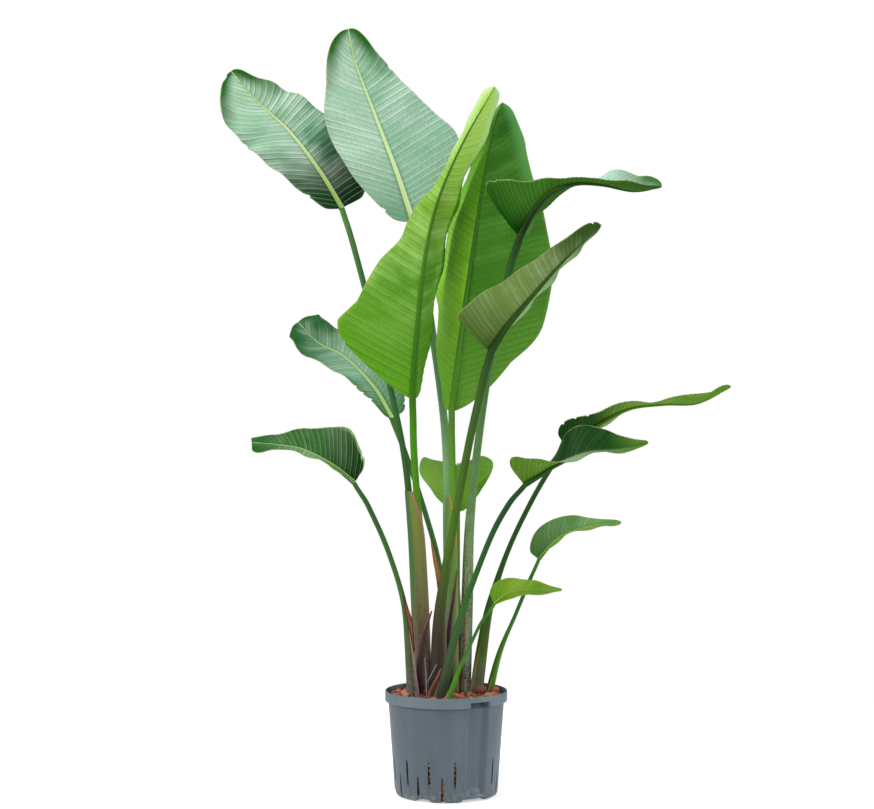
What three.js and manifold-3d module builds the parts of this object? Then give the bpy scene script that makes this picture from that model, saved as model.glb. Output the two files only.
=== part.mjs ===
// A potted white bird of paradise: thirteen leaves in a slotted plastic culture pot of fired clay
// pebbles. Millimetres, +Z up. The origin is the centre of the pot's underside on the ground and
// the plant is seen from -Y. Each leaf is a stalk with its midrib and a blade that lies on the rib.
import * as THREE from "three";
import { mergeVertices } from "three/addons/utils/BufferGeometryUtils.js";
import Module from "manifold-3d";

const wasm = await Module();
wasm.setup();

// Pot
const potHeight = 187;
const rimRadius = 110;
const rimBand = 19;
const wallTop = 104;
const wallBottom = 93;
const wallThick = 2.2;
const wallStart = 8;
const floorThick = 2.6;
const channelAngle = 34;
const channelHalf = 12.5;
const channelDepth = 8;
const potSegments = 40;
const potFootRadius = 86;
const slotWidth = 4.6;
const upperSlotSpan = [27, 73];
const lowerSlotSpan = [6, 45];
const notchWidth = [26, 30];
const notchSpan = [173, 180];
const upperSlots = [-73, -46, -18.5, 9, 58.5, 86, 114, 141, 169, 196, 224, 251];
const lowerSlots = [-59, -32, -4.5, 72, 100, 127, 155, 183, 210, 238];

// Clay pebbles and the rootstock
const clearance = 0.4;
const bedTop = 166;
const pebbleCount = 28;
const footLevel = 148;
const rhizomeLevel = 118;

// Leaves
const stalkSides = 6;
const stalkRings = 8;
const ribShare = 0.86;
const bladeThick = 1.1;
const ribGap = 0.35;
const sheathFoot = 161;
const sheathThick = 1.7;
const sheathEdge = 1.1;
const sheathTaper = 0.25;
const sheathPoint = 0.12;

// route: stalk from its buried foot to the blade; rib: midrib from the blade's base to its tip;
// up: way the blade's upper face looks, base to tip; wide: half widths of the left and the right
// half at stations that crowd towards both ends; sweep: how far each half leans towards the tip at
// the base and in the middle; fold, curl: degrees that each half rises at the rib and bends on;
// radius: foot, neck; sheath: height it ends at, radius, heading and half angle of the wrap.
const leaves = {
  leaf_01: {
    size: "large",
    route: [[-43, 4, 148], [-53, 4, 312], [-62, 8, 474], [-75, 22, 600], [-99, 42, 720],
      [-136, 60, 865], [-171, 75, 995], [-192, 85, 1064]],
    rib: [[-192, 85, 1064], [-234, 110, 1134], [-293, 140, 1213], [-359, 165, 1277], [-407, 175, 1333]],
    up: [[0.1, -0.85, 0.3], [0, -0.8, 0.4], [-0.2, -0.7, 0.6]],
    wide: [[24, 44, 66, 84, 78, 42, 3], [36, 62, 82, 74, 52, 24, 3]],
    sweep: [[0.06, 0.05], [0, 0.05]],
    fold: [[14, 12, 10], [14, 10, 8]],
    curl: [[-20, -15, -10], [-25, -20, -10]],
    wave: [5, 5], radius: [8.5, 5.4], sheath: [545, 16, -54, 125],
  },
  leaf_02: {
    size: "large",
    route: [[5, 28, 148], [5, 30, 307], [4, 36, 452], [-2, 62, 654], [-28, 84, 853], [-46, 88, 954],
      [-61, 92, 1039]],
    rib: [[-61, 92, 1039], [-93, 105, 1137], [-135, 130, 1249], [-171, 160, 1348], [-185, 175, 1413]],
    up: [[0, -0.9, 0.4], [0, -0.9, 0.4], [-0.1, -0.85, 0.6]],
    wide: [[26, 52, 84, 94, 64, 38, 3], [34, 82, 130, 88, 55, 31, 3]],
    sweep: [[0.08, 0.05], [0.06, 0.05]],
    fold: [[14, 8, 6], [10, 8, 6]],
    curl: [[-18, -12, -6], [-14, -10, -6]],
    wave: [4, 4], radius: [9.5, 7.2], sheath: [540, 20, -74, 130],
  },
  leaf_03: {
    size: "large",
    route: [[-38, -12, 148], [-40, -12, 314], [-46, -10, 458], [-52, -20, 530], [-58, -46, 624],
      [-59, -72, 711]],
    rib: [[-59, -72, 711], [-52, -80, 815], [-39, -80, 947], [-17, -68, 1054], [28, -45, 1163],
      [87, -20, 1270]],
    up: [[0.15, 0.98, 0], [0.15, 0.98, 0], [0.2, 0.95, 0], [0.5, 0.8, 0]],
    wide: [[30, 70, 105, 118, 74, 42, 10], [84, 134, 110, 62, 27, 34, 12]],
    sweep: [[0.03, 0.04], [0.12, 0.02]],
    fold: [[60, 60, 56], [-5, 0, 25, 36, 15]],
    curl: [[50, 50, 46], [0, 6, 16, 30, 20]],
    wave: [5, 4.5], radius: [8, 6.3], sheath: [300, 10, 0, 70],
  },
  leaf_04: {
    size: "large",
    route: [[11, 2, 148], [12, 4, 348], [12, -4, 529], [9, -16, 689]],
    rib: [[9, -16, 689], [25, -20, 820], [43, -15, 951], [65, 0, 1097], [87, 20, 1203], [103, 30, 1250]],
    up: [[-0.15, 0.95, 0], [-0.15, 0.95, 0], [-0.15, 0.95, 0.1]],
    wide: [[40, 98, 152, 148, 96, 50, 6], [20, 50, 100, 114, 72, 34, 6]],
    sweep: [[0.12, 0.03], [0.03, 0.04]],
    fold: [[0, 0, 0], [50, 52, 54]],
    curl: [[8, 10, 10], [36, 38, 40]],
    wave: [4, 4], radius: [8, 6], sheath: [330, 10, 20, 70],
  },
  leaf_05: {
    size: "medium",
    route: [[32, 24, 148], [38, 20, 346], [43, 8, 492], [60, -20, 655], [81, -50, 798],
      [108, -80, 924], [127, -95, 998]],
    rib: [[127, -95, 998], [148, -105, 1036], [178, -122, 1069], [221, -150, 1083], [266, -175, 1078],
      [317, -205, 1063], [362, -225, 1067]],
    up: [[-0.45, 0.85, 0.3], [-0.4, 0.8, 0.45], [-0.25, 0.65, 0.7], [-0.1, 0.3, 0.9], [0, 0, 1],
      [0.05, -0.05, 1], [0.1, -0.1, 1]],
    wide: [[24, 44, 52, 38, 34, 26, 2], [30, 98, 36, 29, 31, 22, 2]],
    sweep: [[0.02, 0.05], [0.1, 0.03]],
    fold: [[34, 36, 20, 60, 50], [0, 15, -5, 25, 20]],
    curl: [[0, 0, 0], [10, 10, 0, 0]],
    wave: [5, 3.5], radius: [12, 7], sheath: [560, 14, 200, 75],
  },
  leaf_06: {
    size: "medium",
    route: [[-18, -30, 148], [-15, -35, 298], [-1, -45, 406], [21, -65, 532], [41, -90, 639],
      [60, -115, 726], [75, -138, 795]],
    rib: [[75, -138, 795], [102, -165, 836], [141, -200, 882], [190, -240, 937], [229, -268, 974],
      [254, -285, 998]],
    up: [[-0.45, 0.85, 0.3], [-0.45, 0.85, 0.3], [-0.45, 0.8, 0.4]],
    wide: [[24, 44, 60, 56, 46, 24, 2], [40, 90, 74, 48, 29, 20, 4]],
    sweep: [[0.02, 0.05], [0.08, 0.03]],
    fold: [[36, 36, 35], [0, 0, 10]],
    curl: [[16, 16, 16], [10, 20, 30]],
    wave: [4, 4], radius: [11.5, 7], sheath: [420, 14, 50, 85],
  },
  leaf_07: {
    size: "medium",
    route: [[-7, 78, 148], [-4, 82, 321], [-15, 85, 414], [-37, 90, 496], [-67, 98, 587],
      [-100, 110, 676]],
    rib: [[-100, 110, 676], [-135, 135, 734], [-191, 170, 791], [-244, 200, 820], [-283, 215, 859]],
    up: [[0.1, -0.8, 0.5], [0, -0.8, 0.5], [-0.3, -0.6, 0.7]],
    wide: [[8, 18, 30, 40, 42, 32, 8], [20, 38, 52, 53, 45, 36, 10]],
    sweep: [[0.06, 0.05], [0, 0.05]],
    fold: [[20, 15, 10], [15, 10, 10]],
    curl: [[-10, -10, 0], [-10, -10, 0]],
    wave: [4, 3.5], radius: [8.5, 5], sheath: [430, 12, -70, 80],
  },
  leaf_08: {
    size: "small",
    route: [[-59, -28, 148], [-67, -34, 272], [-77, -40, 353], [-104, -50, 442], [-135, -60, 514],
      [-161, -70, 564]],
    rib: [[-161, -70, 564], [-201, -85, 596], [-251, -105, 623], [-298, -125, 632], [-337, -140, 636]],
    up: [[0.2, -0.7, 0.6], [0.1, -0.65, 0.7], [-0.1, -0.6, 0.8]],
    wide: [[12, 26, 34, 26, 12, 22, 14], [26, 52, 70, 42, 22, 14, 8]],
    sweep: [[0.05, 0.05], [0, 0.05]],
    fold: [[42, 36, 10, -30], [15, 20, 15]],
    curl: [[0, 0, 0], [0, 0, 0]],
    wave: [4, 3.5], radius: [9.5, 4.6], sheath: [350, 12, 10, 85],
  },
  leaf_09: {
    size: "small",
    route: [[20, 84, 148], [22, 100, 337], [23, 150, 499]],
    rib: [[23, 150, 499], [21, 165, 539], [19, 160, 574], [17, 135, 589], [17, 112, 586]],
    up: [[0, 0.9, 0.1], [0, 0.9, 0.4], [0, 0.3, 0.9], [0, 0, 1]],
    wide: [[10, 24, 50, 74, 54, 26, 4], [10, 24, 50, 74, 54, 26, 4]],
    sweep: [[0.12, 0.05], [0.12, 0.05]],
    fold: [[20, 20, 10], [20, 20, 10]],
    curl: [[0, 0, 0], [0, 0, 0]],
    wave: [3, 3], radius: [8, 4], sheath: [400, 11, -90, 75],
  },
  leaf_10: {
    size: "medium",
    route: [[50, 9, 148], [70, 12, 293], [87, 14, 365], [116, 16, 446], [156, 20, 528],
      [192, 24, 589], [216, 26, 624]],
    rib: [[216, 26, 624], [254, 30, 651], [299, 34, 678], [341, 38, 696], [400, 42, 702],
      [460, 46, 704], [521, 48, 733]],
    up: [[-0.5, 0.75, 0.5], [-0.4, 0.7, 0.6], [-0.2, 0.6, 0.8], [-0.1, 0.2, 1], [0, 0, 1],
      [-0.1, -0.05, 1]],
    wide: [[16, 28, 34, 30, 28, 14, 2], [30, 50, 24, 24, 26, 22, 2]],
    sweep: [[0.02, 0.04], [0, 0.04]],
    fold: [[30, 30, 25, 35, 20], [0, 10, -5, 30, 30]],
    curl: [[0, 0, 0], [0, 0, 0]],
    wave: [4, 3], radius: [12, 4.6], sheath: [320, 14, 175, 85],
  },
  leaf_11: {
    size: "small",
    route: [[-17, -56, 148], [3, -58, 239], [19, -62, 302], [42, -68, 373], [80, -76, 471],
      [112, -82, 529], [136, -86, 561]],
    rib: [[136, -86, 561], [164, -92, 579], [192, -100, 597], [241, -120, 618], [296, -140, 624],
      [347, -155, 635]],
    up: [[-0.6, 0.75, 0.3], [-0.5, 0.45, 0.7], [-0.12, -0.42, 0.88], [0.05, -0.5, 0.85],
      [0.05, -0.5, 0.85], [0, -0.5, 0.85]],
    wide: [[10, 16, 38, 54, 30, 12, 2], [36, 70, 56, 44, 32, 18, 2]],
    sweep: [[0.03, 0.04], [0, 0.04]],
    fold: [[40, 35, 30, 25, 20], [5, 10, 20, 20, 10]],
    curl: [[0, 0, 0], [0, 0, 0]],
    wave: [4, 3], radius: [9.5, 5], sheath: [245, 12, 100, 80],
  },
  leaf_12: {
    size: "small",
    route: [[72, 29, 148], [96, 32, 245], [126, 36, 317], [149, 40, 372], [168, 44, 419]],
    rib: [[168, 44, 419], [194, 48, 448], [220, 52, 466], [268, 56, 480], [321, 60, 485]],
    up: [[-0.4, -0.7, 0.6], [-0.1, -0.7, 0.6], [0, -0.5, 0.9]],
    wide: [[18, 32, 42, 28, 14, 8, 2], [10, 18, 26, 28, 24, 12, 2]],
    sweep: [[0, 0.05], [0.04, 0.05]],
    fold: [[5, 5, 5], [45, 45, 10]],
    curl: [[0, 0, 0], [0, 0, 0]],
    wave: [3, 2.5], radius: [7.2, 3.5], sheath: [240, 9, 190, 75],
  },
  leaf_13: {
    size: "small",
    route: [[-6, -78, 148], [17, -80, 221], [34, -83, 260], [59, -88, 314], [83, -94, 353]],
    rib: [[83, -94, 353], [111, -100, 373], [155, -108, 379], [201, -116, 378]],
    up: [[-0.2, -0.5, 0.8], [-0.1, -0.5, 0.8], [0, -0.4, 0.9]],
    wide: [[18, 28, 32, 22, 12, 6, 2], [10, 18, 24, 22, 16, 8, 2]],
    sweep: [[0, 0.05], [0.04, 0.05]],
    fold: [[15, 10, 10], [15, 8, 0]],
    curl: [[0, 0, 0], [0, 0, 0]],
    wave: [2, 2], radius: [5.4, 3], sheath: [225, 7, 95, 75],
  },
};

const toRadians = THREE.MathUtils.degToRad;
const vector = (list) => new THREE.Vector3(...list);

// Welds a geometry and hands it to the solid kernel; triangles that fall flat at a pole are left out.
function toSolid(geometry) {
  const bare = geometry.clone();
  bare.deleteAttribute("normal");
  bare.deleteAttribute("uv");
  const welded = mergeVertices(bare, 1e-3);
  const kept = [];
  const index = welded.index.array;
  for (let i = 0; i < index.length; i += 3) {
    const [a, b, c] = [index[i], index[i + 1], index[i + 2]];
    if (a !== b && b !== c && c !== a) kept.push(a, b, c);
  }
  return new wasm.Manifold(new wasm.Mesh({
    numProp: 3,
    vertProperties: new Float32Array(welded.attributes.position.array),
    triVerts: new Uint32Array(kept),
  }));
}

function toMesh(name, solid, finish) {
  const data = solid.getMesh();
  const geometry = new THREE.BufferGeometry();
  const points = [];
  for (let i = 0; i < data.vertProperties.length; i += data.numProp) {
    points.push(data.vertProperties[i], data.vertProperties[i + 1], data.vertProperties[i + 2]);
  }
  geometry.setAttribute("position", new THREE.Float32BufferAttribute(points, 3));
  geometry.setIndex(Array.from(data.triVerts));
  geometry.computeVertexNormals();
  const mesh = new THREE.Mesh(geometry, new THREE.MeshStandardMaterial(finish));
  mesh.name = name;
  return mesh;
}

// Moves every vertex of a geometry through a function of its own x, y and z.
function reshape(geometry, place) {
  const position = geometry.attributes.position;
  for (let i = 0; i < position.count; i += 1) {
    const point = place(position.getX(i), position.getY(i), position.getZ(i));
    position.setXYZ(i, point.x, point.y, point.z);
  }
  return geometry;
}

// Smooth value at t between 0 and 1 in a list of evenly spaced numbers.
function glide(values, t) {
  const last = values.length - 1;
  const scaled = THREE.MathUtils.clamp(t, 0, 1) * last;
  const i = Math.min(Math.floor(scaled), last - 1);
  const w = scaled - i;
  const p1 = values[i];
  const p2 = values[i + 1];
  const p0 = i > 0 ? values[i - 1] : 2 * p1 - p2;
  const p3 = i + 2 <= last ? values[i + 2] : 2 * p2 - p1;
  const m1 = (p2 - p0) / 2;
  const m2 = (p3 - p1) / 2;
  return (2 * p1 - 2 * p2 + m1 + m2) * w ** 3 + (3 * p2 - 3 * p1 - 2 * m1 - m2) * w ** 2 + m1 * w + p1;
}

const glideVector = (list, t) => new THREE.Vector3(
  glide(list.map((p) => p[0]), t),
  glide(list.map((p) => p[1]), t),
  glide(list.map((p) => p[2]), t),
);

const spline = (points) => new THREE.CatmullRomCurve3(points.map(vector), false, "catmullrom", 0.5);

// Point, forward, upper and right-hand directions of a rib at u; u may run a little past both ends.
function ribFrame(leaf, u) {
  const inside = THREE.MathUtils.clamp(u, 0, 1);
  const step = 0.01;
  const before = leaf.ribCurve.getPointAt(Math.max(inside - step, 0));
  const after = leaf.ribCurve.getPointAt(Math.min(inside + step, 1));
  const forward = after.sub(before).normalize();
  const point = leaf.ribCurve.getPointAt(inside).addScaledVector(forward, (u - inside) * leaf.ribLength);
  const upper = glideVector(leaf.up, inside);
  upper.addScaledVector(forward, -upper.dot(forward)).normalize();
  const right = new THREE.Vector3().crossVectors(forward, upper);
  return { point, forward, upper, right };
}

const halfWidth = (wide, u) => Math.max(0, glide(wide, Math.acos(1 - 2 * u) / Math.PI));

// Point of the blade at u along the rib and v across it, -1 at the left edge and 1 at the right one,
// lifted off the middle of its thickness.
function bladePoint(leaf, u, v, lift) {
  const side = v < 0 ? 0 : 1;
  const out = Math.abs(v);
  const half = halfWidth(leaf.wide[side], u);
  const share = half / Math.max(...leaf.wide.flat());
  const [atBase, atMiddle] = leaf.sweep[side];
  const sweep = atBase * (1 - u) ** 3 + atMiddle * Math.sin(Math.PI * u);
  const along = u + sweep * out ** 1.6 * Math.min(1, 1.5 * share);
  const { point, upper, right } = ribFrame(leaf, along);
  const start = toRadians(glide(leaf.fold[side], along));
  let bend = toRadians(glide(leaf.curl[side], along));
  if (Math.abs(bend) < 1e-3) bend = 1e-3;
  const end = start + bend * out;
  const outward = (half * (Math.sin(end) - Math.sin(start))) / bend;
  const rise = (half * (Math.cos(start) - Math.cos(end))) / bend;
  const hand = side === 0 ? -1 : 1;
  const [height, count] = leaf.wave;
  const phase = side === 0 ? 0 : 1.7;
  const ripple = height * out ** 2 * Math.sin(2 * Math.PI * count * u + phase) * Math.min(1, 1.5 * share);
  const lean = out < 1e-6 ? 0 : end;
  point.addScaledVector(right, hand * outward).addScaledVector(upper, rise);
  point.addScaledVector(upper, Math.cos(lean) * (ripple + lift));
  return point.addScaledVector(right, -hand * Math.sin(lean) * (ripple + lift));
}

// Sheet of even thickness: one grid of triangles used on both faces and stitched round the rim.
function bladeSolid(leaf, alongCount, acrossCount) {
  const grid = new THREE.PlaneGeometry(2, 1, acrossCount, alongCount);
  const flat = grid.attributes.position;
  const count = flat.count;
  const points = [];
  for (const lift of [bladeThick / 2, -bladeThick / 2]) {
    for (let i = 0; i < count; i += 1) {
      points.push(...bladePoint(leaf, flat.getY(i) + 0.5, flat.getX(i), lift).toArray());
    }
  }
  const faces = [];
  const index = grid.index.array;
  for (let i = 0; i < index.length; i += 3) {
    const [a, b, c] = [index[i], index[i + 1], index[i + 2]];
    faces.push(a, b, c, count + a, count + c, count + b);
  }
  const row = acrossCount + 1;
  const rim = [];
  for (let i = 0; i < acrossCount; i += 1) rim.push(i);
  for (let i = 0; i < alongCount; i += 1) rim.push(i * row + acrossCount);
  for (let i = acrossCount; i > 0; i -= 1) rim.push(alongCount * row + i);
  for (let i = alongCount; i > 0; i -= 1) rim.push(i * row);
  rim.forEach((a, k) => {
    const b = rim[(k + 1) % rim.length];
    faces.push(a, b, count + a, b, count + b, count + a);
  });
  const geometry = new THREE.BufferGeometry();
  geometry.setAttribute("position", new THREE.Float32BufferAttribute(points, 3));
  geometry.setIndex(faces);
  return toSolid(geometry);
}

// Stalk and rib as one tapered rod. Under the blade its rings stand at the blade's own rows and its
// centre drops below the sheet by its own radius and the gap. For the holes cut in its neighbours,
// extra fattens it and ringCount keeps only its lower part.
function stalkSolid(leaf, extra, ringCount) {
  const stalkLength = leaf.stalkCurve.getLength();
  const stations = [];
  for (let i = 0; i < stalkRings; i += 1) stations.push((stalkLength * i) / stalkRings);
  for (let row = 0; row <= leaf.rows * ribShare; row += 1) {
    stations.push(stalkLength + (leaf.ribLength * row) / leaf.rows);
  }
  const kept = stations.slice(0, ringCount);
  const rod = new THREE.CylinderGeometry(1, 1, 1, stalkSides, kept.length - 1);
  const [foot, neck] = leaf.radius;
  const tip = 1.1;
  return toSolid(reshape(rod, (x, y, z) => {
    const ring = Math.round((y + 0.5) * (kept.length - 1));
    const run = kept[ring];
    const onRib = run >= stalkLength;
    const s = onRib ? (run - stalkLength) / leaf.ribLength : run / stalkLength;
    const radius = onRib
      ? THREE.MathUtils.lerp(neck, tip, Math.min(1, s / ribShare) ** 0.8)
      : THREE.MathUtils.lerp(foot, neck, THREE.MathUtils.smoothstep(s, 0.05, 0.6));
    let frame = ribFrame(leaf, onRib ? s : 0);
    if (!onRib) {
      const forward = leaf.stalkCurve.getTangentAt(s);
      const upper = frame.upper.clone().addScaledVector(forward, -frame.upper.dot(forward)).normalize();
      const right = new THREE.Vector3().crossVectors(forward, upper);
      const point = leaf.stalkCurve.getPointAt(s).addScaledVector(forward, ring === 0 ? -8 * extra : 0);
      frame = { point, upper, right };
    }
    const droop = Math.max(0, -glide(leaf.fold[0], s), -glide(leaf.fold[1], s));
    const full = (radius + bladeThick / 2 + ribGap) / Math.cos(toRadians(droop));
    const size = radius + extra;
    return frame.point
      .addScaledVector(frame.upper, (onRib ? -full : 0) + size * z)
      .addScaledVector(frame.right, size * x);
  }));
}

// Clasping sheath at the stalk's foot: a strip on a circle that runs through the stalk, widest at
// the ground and gone at its upper end.
function sheathSolid(leaf, extra) {
  const [top, wrapRadius, heading, halfAngle] = leaf.sheath;
  const strip = new THREE.BoxGeometry(1, 1, 1, 6, 4, 1);
  const heights = leaf.stalkCurve.getSpacedPoints(100);
  return toSolid(reshape(strip, (x, y, z) => {
    const s = y + 0.5;
    const level = THREE.MathUtils.lerp(sheathFoot - extra, top + extra, s);
    const place = heights.findIndex((p) => p.z >= level);
    const [below, above] = [heights[place - 1], heights[place]];
    const centre = below.clone().lerp(above, (level - below.z) / (above.z - below.z));
    const reach = wrapRadius * (1 - sheathTaper * s);
    const spread = toRadians(halfAngle) * (1 - s ** 1.6) + sheathPoint + extra / reach;
    const turn = toRadians(heading + 180) + 2 * x * spread;
    const thick = THREE.MathUtils.lerp(sheathThick, sheathEdge, Math.abs(2 * x)) + 2 * extra;
    const radius = reach + thick * z;
    const middle = toRadians(heading);
    return new THREE.Vector3(
      centre.x + reach * Math.cos(middle) + radius * Math.cos(turn),
      centre.y + reach * Math.sin(middle) + radius * Math.sin(turn),
      level,
    );
  }));
}

// Radius of the pot's wall pulled in along the water gauge channel.
function channelPull(angle, level) {
  const away = Math.abs(THREE.MathUtils.euclideanModulo(angle - channelAngle + 180, 360) - 180);
  const round = 1 - THREE.MathUtils.smoothstep(away, channelHalf - 6, channelHalf + 1);
  const fade = THREE.MathUtils.smoothstep(level, 6, 26) * (1 - THREE.MathUtils.smoothstep(level, 164, 170));
  return channelDepth * round * fade;
}

// Turned body with its segments crowded at the channel. Angles count from the front, -Y, towards +X.
function lathed(profile, extraPull) {
  const outline = profile.map(([radius, level]) => new THREE.Vector2(radius, level));
  const turned = new THREE.LatheGeometry(outline, potSegments);
  const crowding = 0.55;
  const centre = toRadians(channelAngle);
  return toSolid(reshape(turned, (x, level, z) => {
    const even = Math.round((Math.atan2(x, z) * potSegments) / (2 * Math.PI)) * ((2 * Math.PI) / potSegments);
    const turn = even - crowding * Math.sin(even) + centre;
    const radius = Math.hypot(x, z);
    const found = radius > wallBottom - 12 ? channelPull(THREE.MathUtils.radToDeg(turn), level) : 0;
    const pull = found > 0 ? found + extraPull : 0;
    return new THREE.Vector3((radius - pull) * Math.sin(turn), -(radius - pull) * Math.cos(turn), level);
  }));
}

const wallAt = (level) => THREE.MathUtils.lerp(wallBottom, wallTop,
  (level - wallStart) / (potHeight - rimBand - wallStart - 2));

// Closed bar for one slot through the wall, its width given at the bottom and at the top.
function slotSolid(angle, [low, high], [bottomWidth, topWidth]) {
  const cornerCut = 1.2;
  const outline = new THREE.Shape([
    new THREE.Vector2(-bottomWidth / 2, low),
    new THREE.Vector2(bottomWidth / 2, low),
    new THREE.Vector2(topWidth / 2, high - cornerCut),
    new THREE.Vector2(topWidth / 2 - cornerCut, high),
    new THREE.Vector2(cornerCut - topWidth / 2, high),
    new THREE.Vector2(-topWidth / 2, high - cornerCut),
  ]);
  const depth = 30;
  const bar = new THREE.ExtrudeGeometry(outline, { depth, bevelEnabled: false });
  const turn = toRadians(angle);
  return toSolid(reshape(bar, (x, level, z) => {
    const radius = wallBottom - 8 + z;
    return new THREE.Vector3(
      radius * Math.sin(turn) + x * Math.cos(turn),
      -radius * Math.cos(turn) + x * Math.sin(turn),
      level,
    );
  }));
}

function potSolid() {
  const shoulder = potHeight - rimBand;
  const profile = [[0, 0], [potFootRadius, 0], [90.5, 2], [wallBottom, wallStart]];
  for (const level of [26, 156, shoulder - 1]) profile.push([wallAt(level), level]);
  profile.push([rimRadius - 1, shoulder], [rimRadius, shoulder + 1.5], [rimRadius, potHeight - 1.5]);
  profile.push([rimRadius - 1.2, potHeight], [rimRadius - wallThick, potHeight]);
  profile.push([rimRadius - wallThick - 0.4, shoulder + 3], [wallAt(shoulder) - wallThick, shoulder]);
  for (const level of [156, 26, 10]) profile.push([wallAt(level) - wallThick, level]);
  profile.push([88.5, floorThick + 1.5], [84, floorThick], [0, floorThick]);
  const slots = [
    ...upperSlots.map((angle) => slotSolid(angle, upperSlotSpan, [slotWidth - 1, slotWidth])),
    ...lowerSlots.map((angle) => slotSolid(angle, lowerSlotSpan, [slotWidth + 1.5, slotWidth - 1])),
  ];
  const gaugeNotch = slotSolid(channelAngle, notchSpan, notchWidth);
  return lathed(profile, 0).subtract(wasm.Manifold.union([...slots, gaugeNotch])).simplify(0.05);
}

// Rhizome with an arm under each stalk and thick roots that run down and out.
function rootSolid(extra) {
  const centreX = 6;
  const lump = reshape(new THREE.SphereGeometry(1, 8, 4), (x, y, z) => new THREE.Vector3(
    centreX + (44 + extra) * x, -(40 + extra) * z, rhizomeLevel + (20 + extra) * y,
  ));
  const bodies = [toSolid(lump)];
  for (const leaf of Object.values(leaves)) {
    const foot = leaf.route[0];
    const inward = new THREE.Vector3(foot[0] * 0.45, foot[1] * 0.45, rhizomeLevel);
    const outer = new THREE.Vector3(foot[0], foot[1], footLevel - 2.8);
    const slope = outer.clone().sub(inward).normalize();
    const fatten = extra / slope.z;
    inward.addScaledVector(slope, -fatten);
    outer.addScaledVector(slope, fatten);
    const arm = new THREE.CylinderGeometry(leaf.radius[0] - 0.5 + fatten, 12 + fatten, 1, 5, 1);
    bodies.push(toSolid(reshape(arm, (x, y, z) => {
      const s = y + 0.5;
      const centre = inward.clone().lerp(outer, s);
      return new THREE.Vector3(centre.x + x, centre.y - z, centre.z);
    })));
  }
  const rootCount = 5;
  for (let i = 0; i < rootCount; i += 1) {
    const turn = (2 * Math.PI * i) / rootCount + 0.3;
    const reach = 44 + 9 * (i % 3);
    const course = spline([0, 0.3, 0.6, 1].map((s) => {
      const away = 14 + reach * Math.sin((Math.PI / 2) * s);
      const angle = turn + 0.5 * s;
      return [centreX + away * Math.cos(angle), away * Math.sin(angle), rhizomeLevel - 95 * s ** 1.3];
    }));
    const root = new THREE.CylinderGeometry(1, 1, 1, 5, 4);
    bodies.push(toSolid(reshape(root, (x, y, z) => {
      const s = y + 0.5;
      const radius = THREE.MathUtils.lerp(6.5, 2.4, s) + extra;
      const forward = course.getTangentAt(s);
      const sideways = new THREE.Vector3(-Math.sin(turn), Math.cos(turn), 0);
      const outward = new THREE.Vector3().crossVectors(forward, sideways).normalize();
      const over = s > 0.99 ? extra : 0;
      return course.getPointAt(s)
        .addScaledVector(forward, over)
        .addScaledVector(outward, radius * x)
        .addScaledVector(sideways, radius * z);
    })));
  }
  return wasm.Manifold.union(bodies);
}

// Bed of clay pebbles: a filled body with single pebbles sunk into its top, and plain holes for
// the stalks and the rootstock.
function pebbleSolid(holes) {
  const inset = wallThick + clearance;
  const profile = [[0, floorThick + clearance], [84, floorThick + clearance]];
  for (const level of [10, 26, 156, bedTop]) profile.push([wallAt(level) - inset, level]);
  profile.push([0, bedTop]);
  const bodies = [lathed(profile, 2.6)];
  const goldenTurn = 2.39996;
  for (let i = 0; i < pebbleCount; i += 1) {
    const turn = i * goldenTurn;
    const free = wallAt(bedTop) - 13 - channelPull(THREE.MathUtils.radToDeg(turn) + 90, bedTop - 6);
    const away = free * Math.sqrt((i + 0.5) / pebbleCount);
    const size = 7.6 + 1.6 * Math.sin(i * 12.9898);
    const pebble = new THREE.IcosahedronGeometry(1, 0);
    pebble.rotateX(i * 1.7);
    pebble.rotateY(i * 2.3);
    pebble.scale(size * 1.15, size, size * 0.85);
    pebble.translate(away * Math.cos(turn), away * Math.sin(turn), bedTop + 2.4 + 1.4 * Math.sin(i * 4.1));
    bodies.push(toSolid(pebble));
  }
  const bed = wasm.Manifold.union(bodies).subtract(wasm.Manifold.union(holes)).simplify(0.2);
  return bed.decompose().sort((a, b) => b.volume() - a.volume())[0];
}

const names = Object.keys(leaves);
const bladeRows = { large: 17, medium: 16, small: 12 };
const bladeColumns = { large: 6, medium: 6, small: 4 };
for (const leaf of Object.values(leaves)) {
  leaf.rows = bladeRows[leaf.size];
  leaf.ribCurve = spline(leaf.rib);
  leaf.ribLength = leaf.ribCurve.getLength();
  leaf.stalkCurve = spline(leaf.route);
}

// A sheath gives way to every other stalk and to the sheaths listed before its own.
const sheathOrder = ["leaf_03", "leaf_04", "leaf_13", "leaf_12", "leaf_11", "leaf_08", "leaf_10",
  "leaf_07", "leaf_09", "leaf_05", "leaf_06", "leaf_01", "leaf_02"];
const lowerRings = stalkRings - 1;
const stalks = {};
sheathOrder.forEach((name, rank) => {
  const leaf = leaves[name];
  const others = names.filter((other) => other !== name);
  const cutters = others.map((other) => stalkSolid(leaves[other], clearance, lowerRings));
  for (const earlier of sheathOrder.slice(0, rank)) {
    cutters.push(sheathSolid(leaves[earlier], clearance));
  }
  const sheath = sheathSolid(leaf, 0).subtract(wasm.Manifold.union(cutters));
  const whole = stalkSolid(leaf, 0).add(sheath).simplify(0.1);
  stalks[name] = whole.decompose().sort((a, b) => b.volume() - a.volume())[0];
});

const greenStalk = { color: 0x4f6b3a, roughness: 0.5, metalness: 0 };
const upperGreen = { color: 0x6f9a86, roughness: 0.42, metalness: 0 };
const underGreen = { color: 0x6f9a3c, roughness: 0.5, metalness: 0 };
const underSeen = ["leaf_03", "leaf_04", "leaf_05", "leaf_06", "leaf_09", "leaf_10"];

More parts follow.
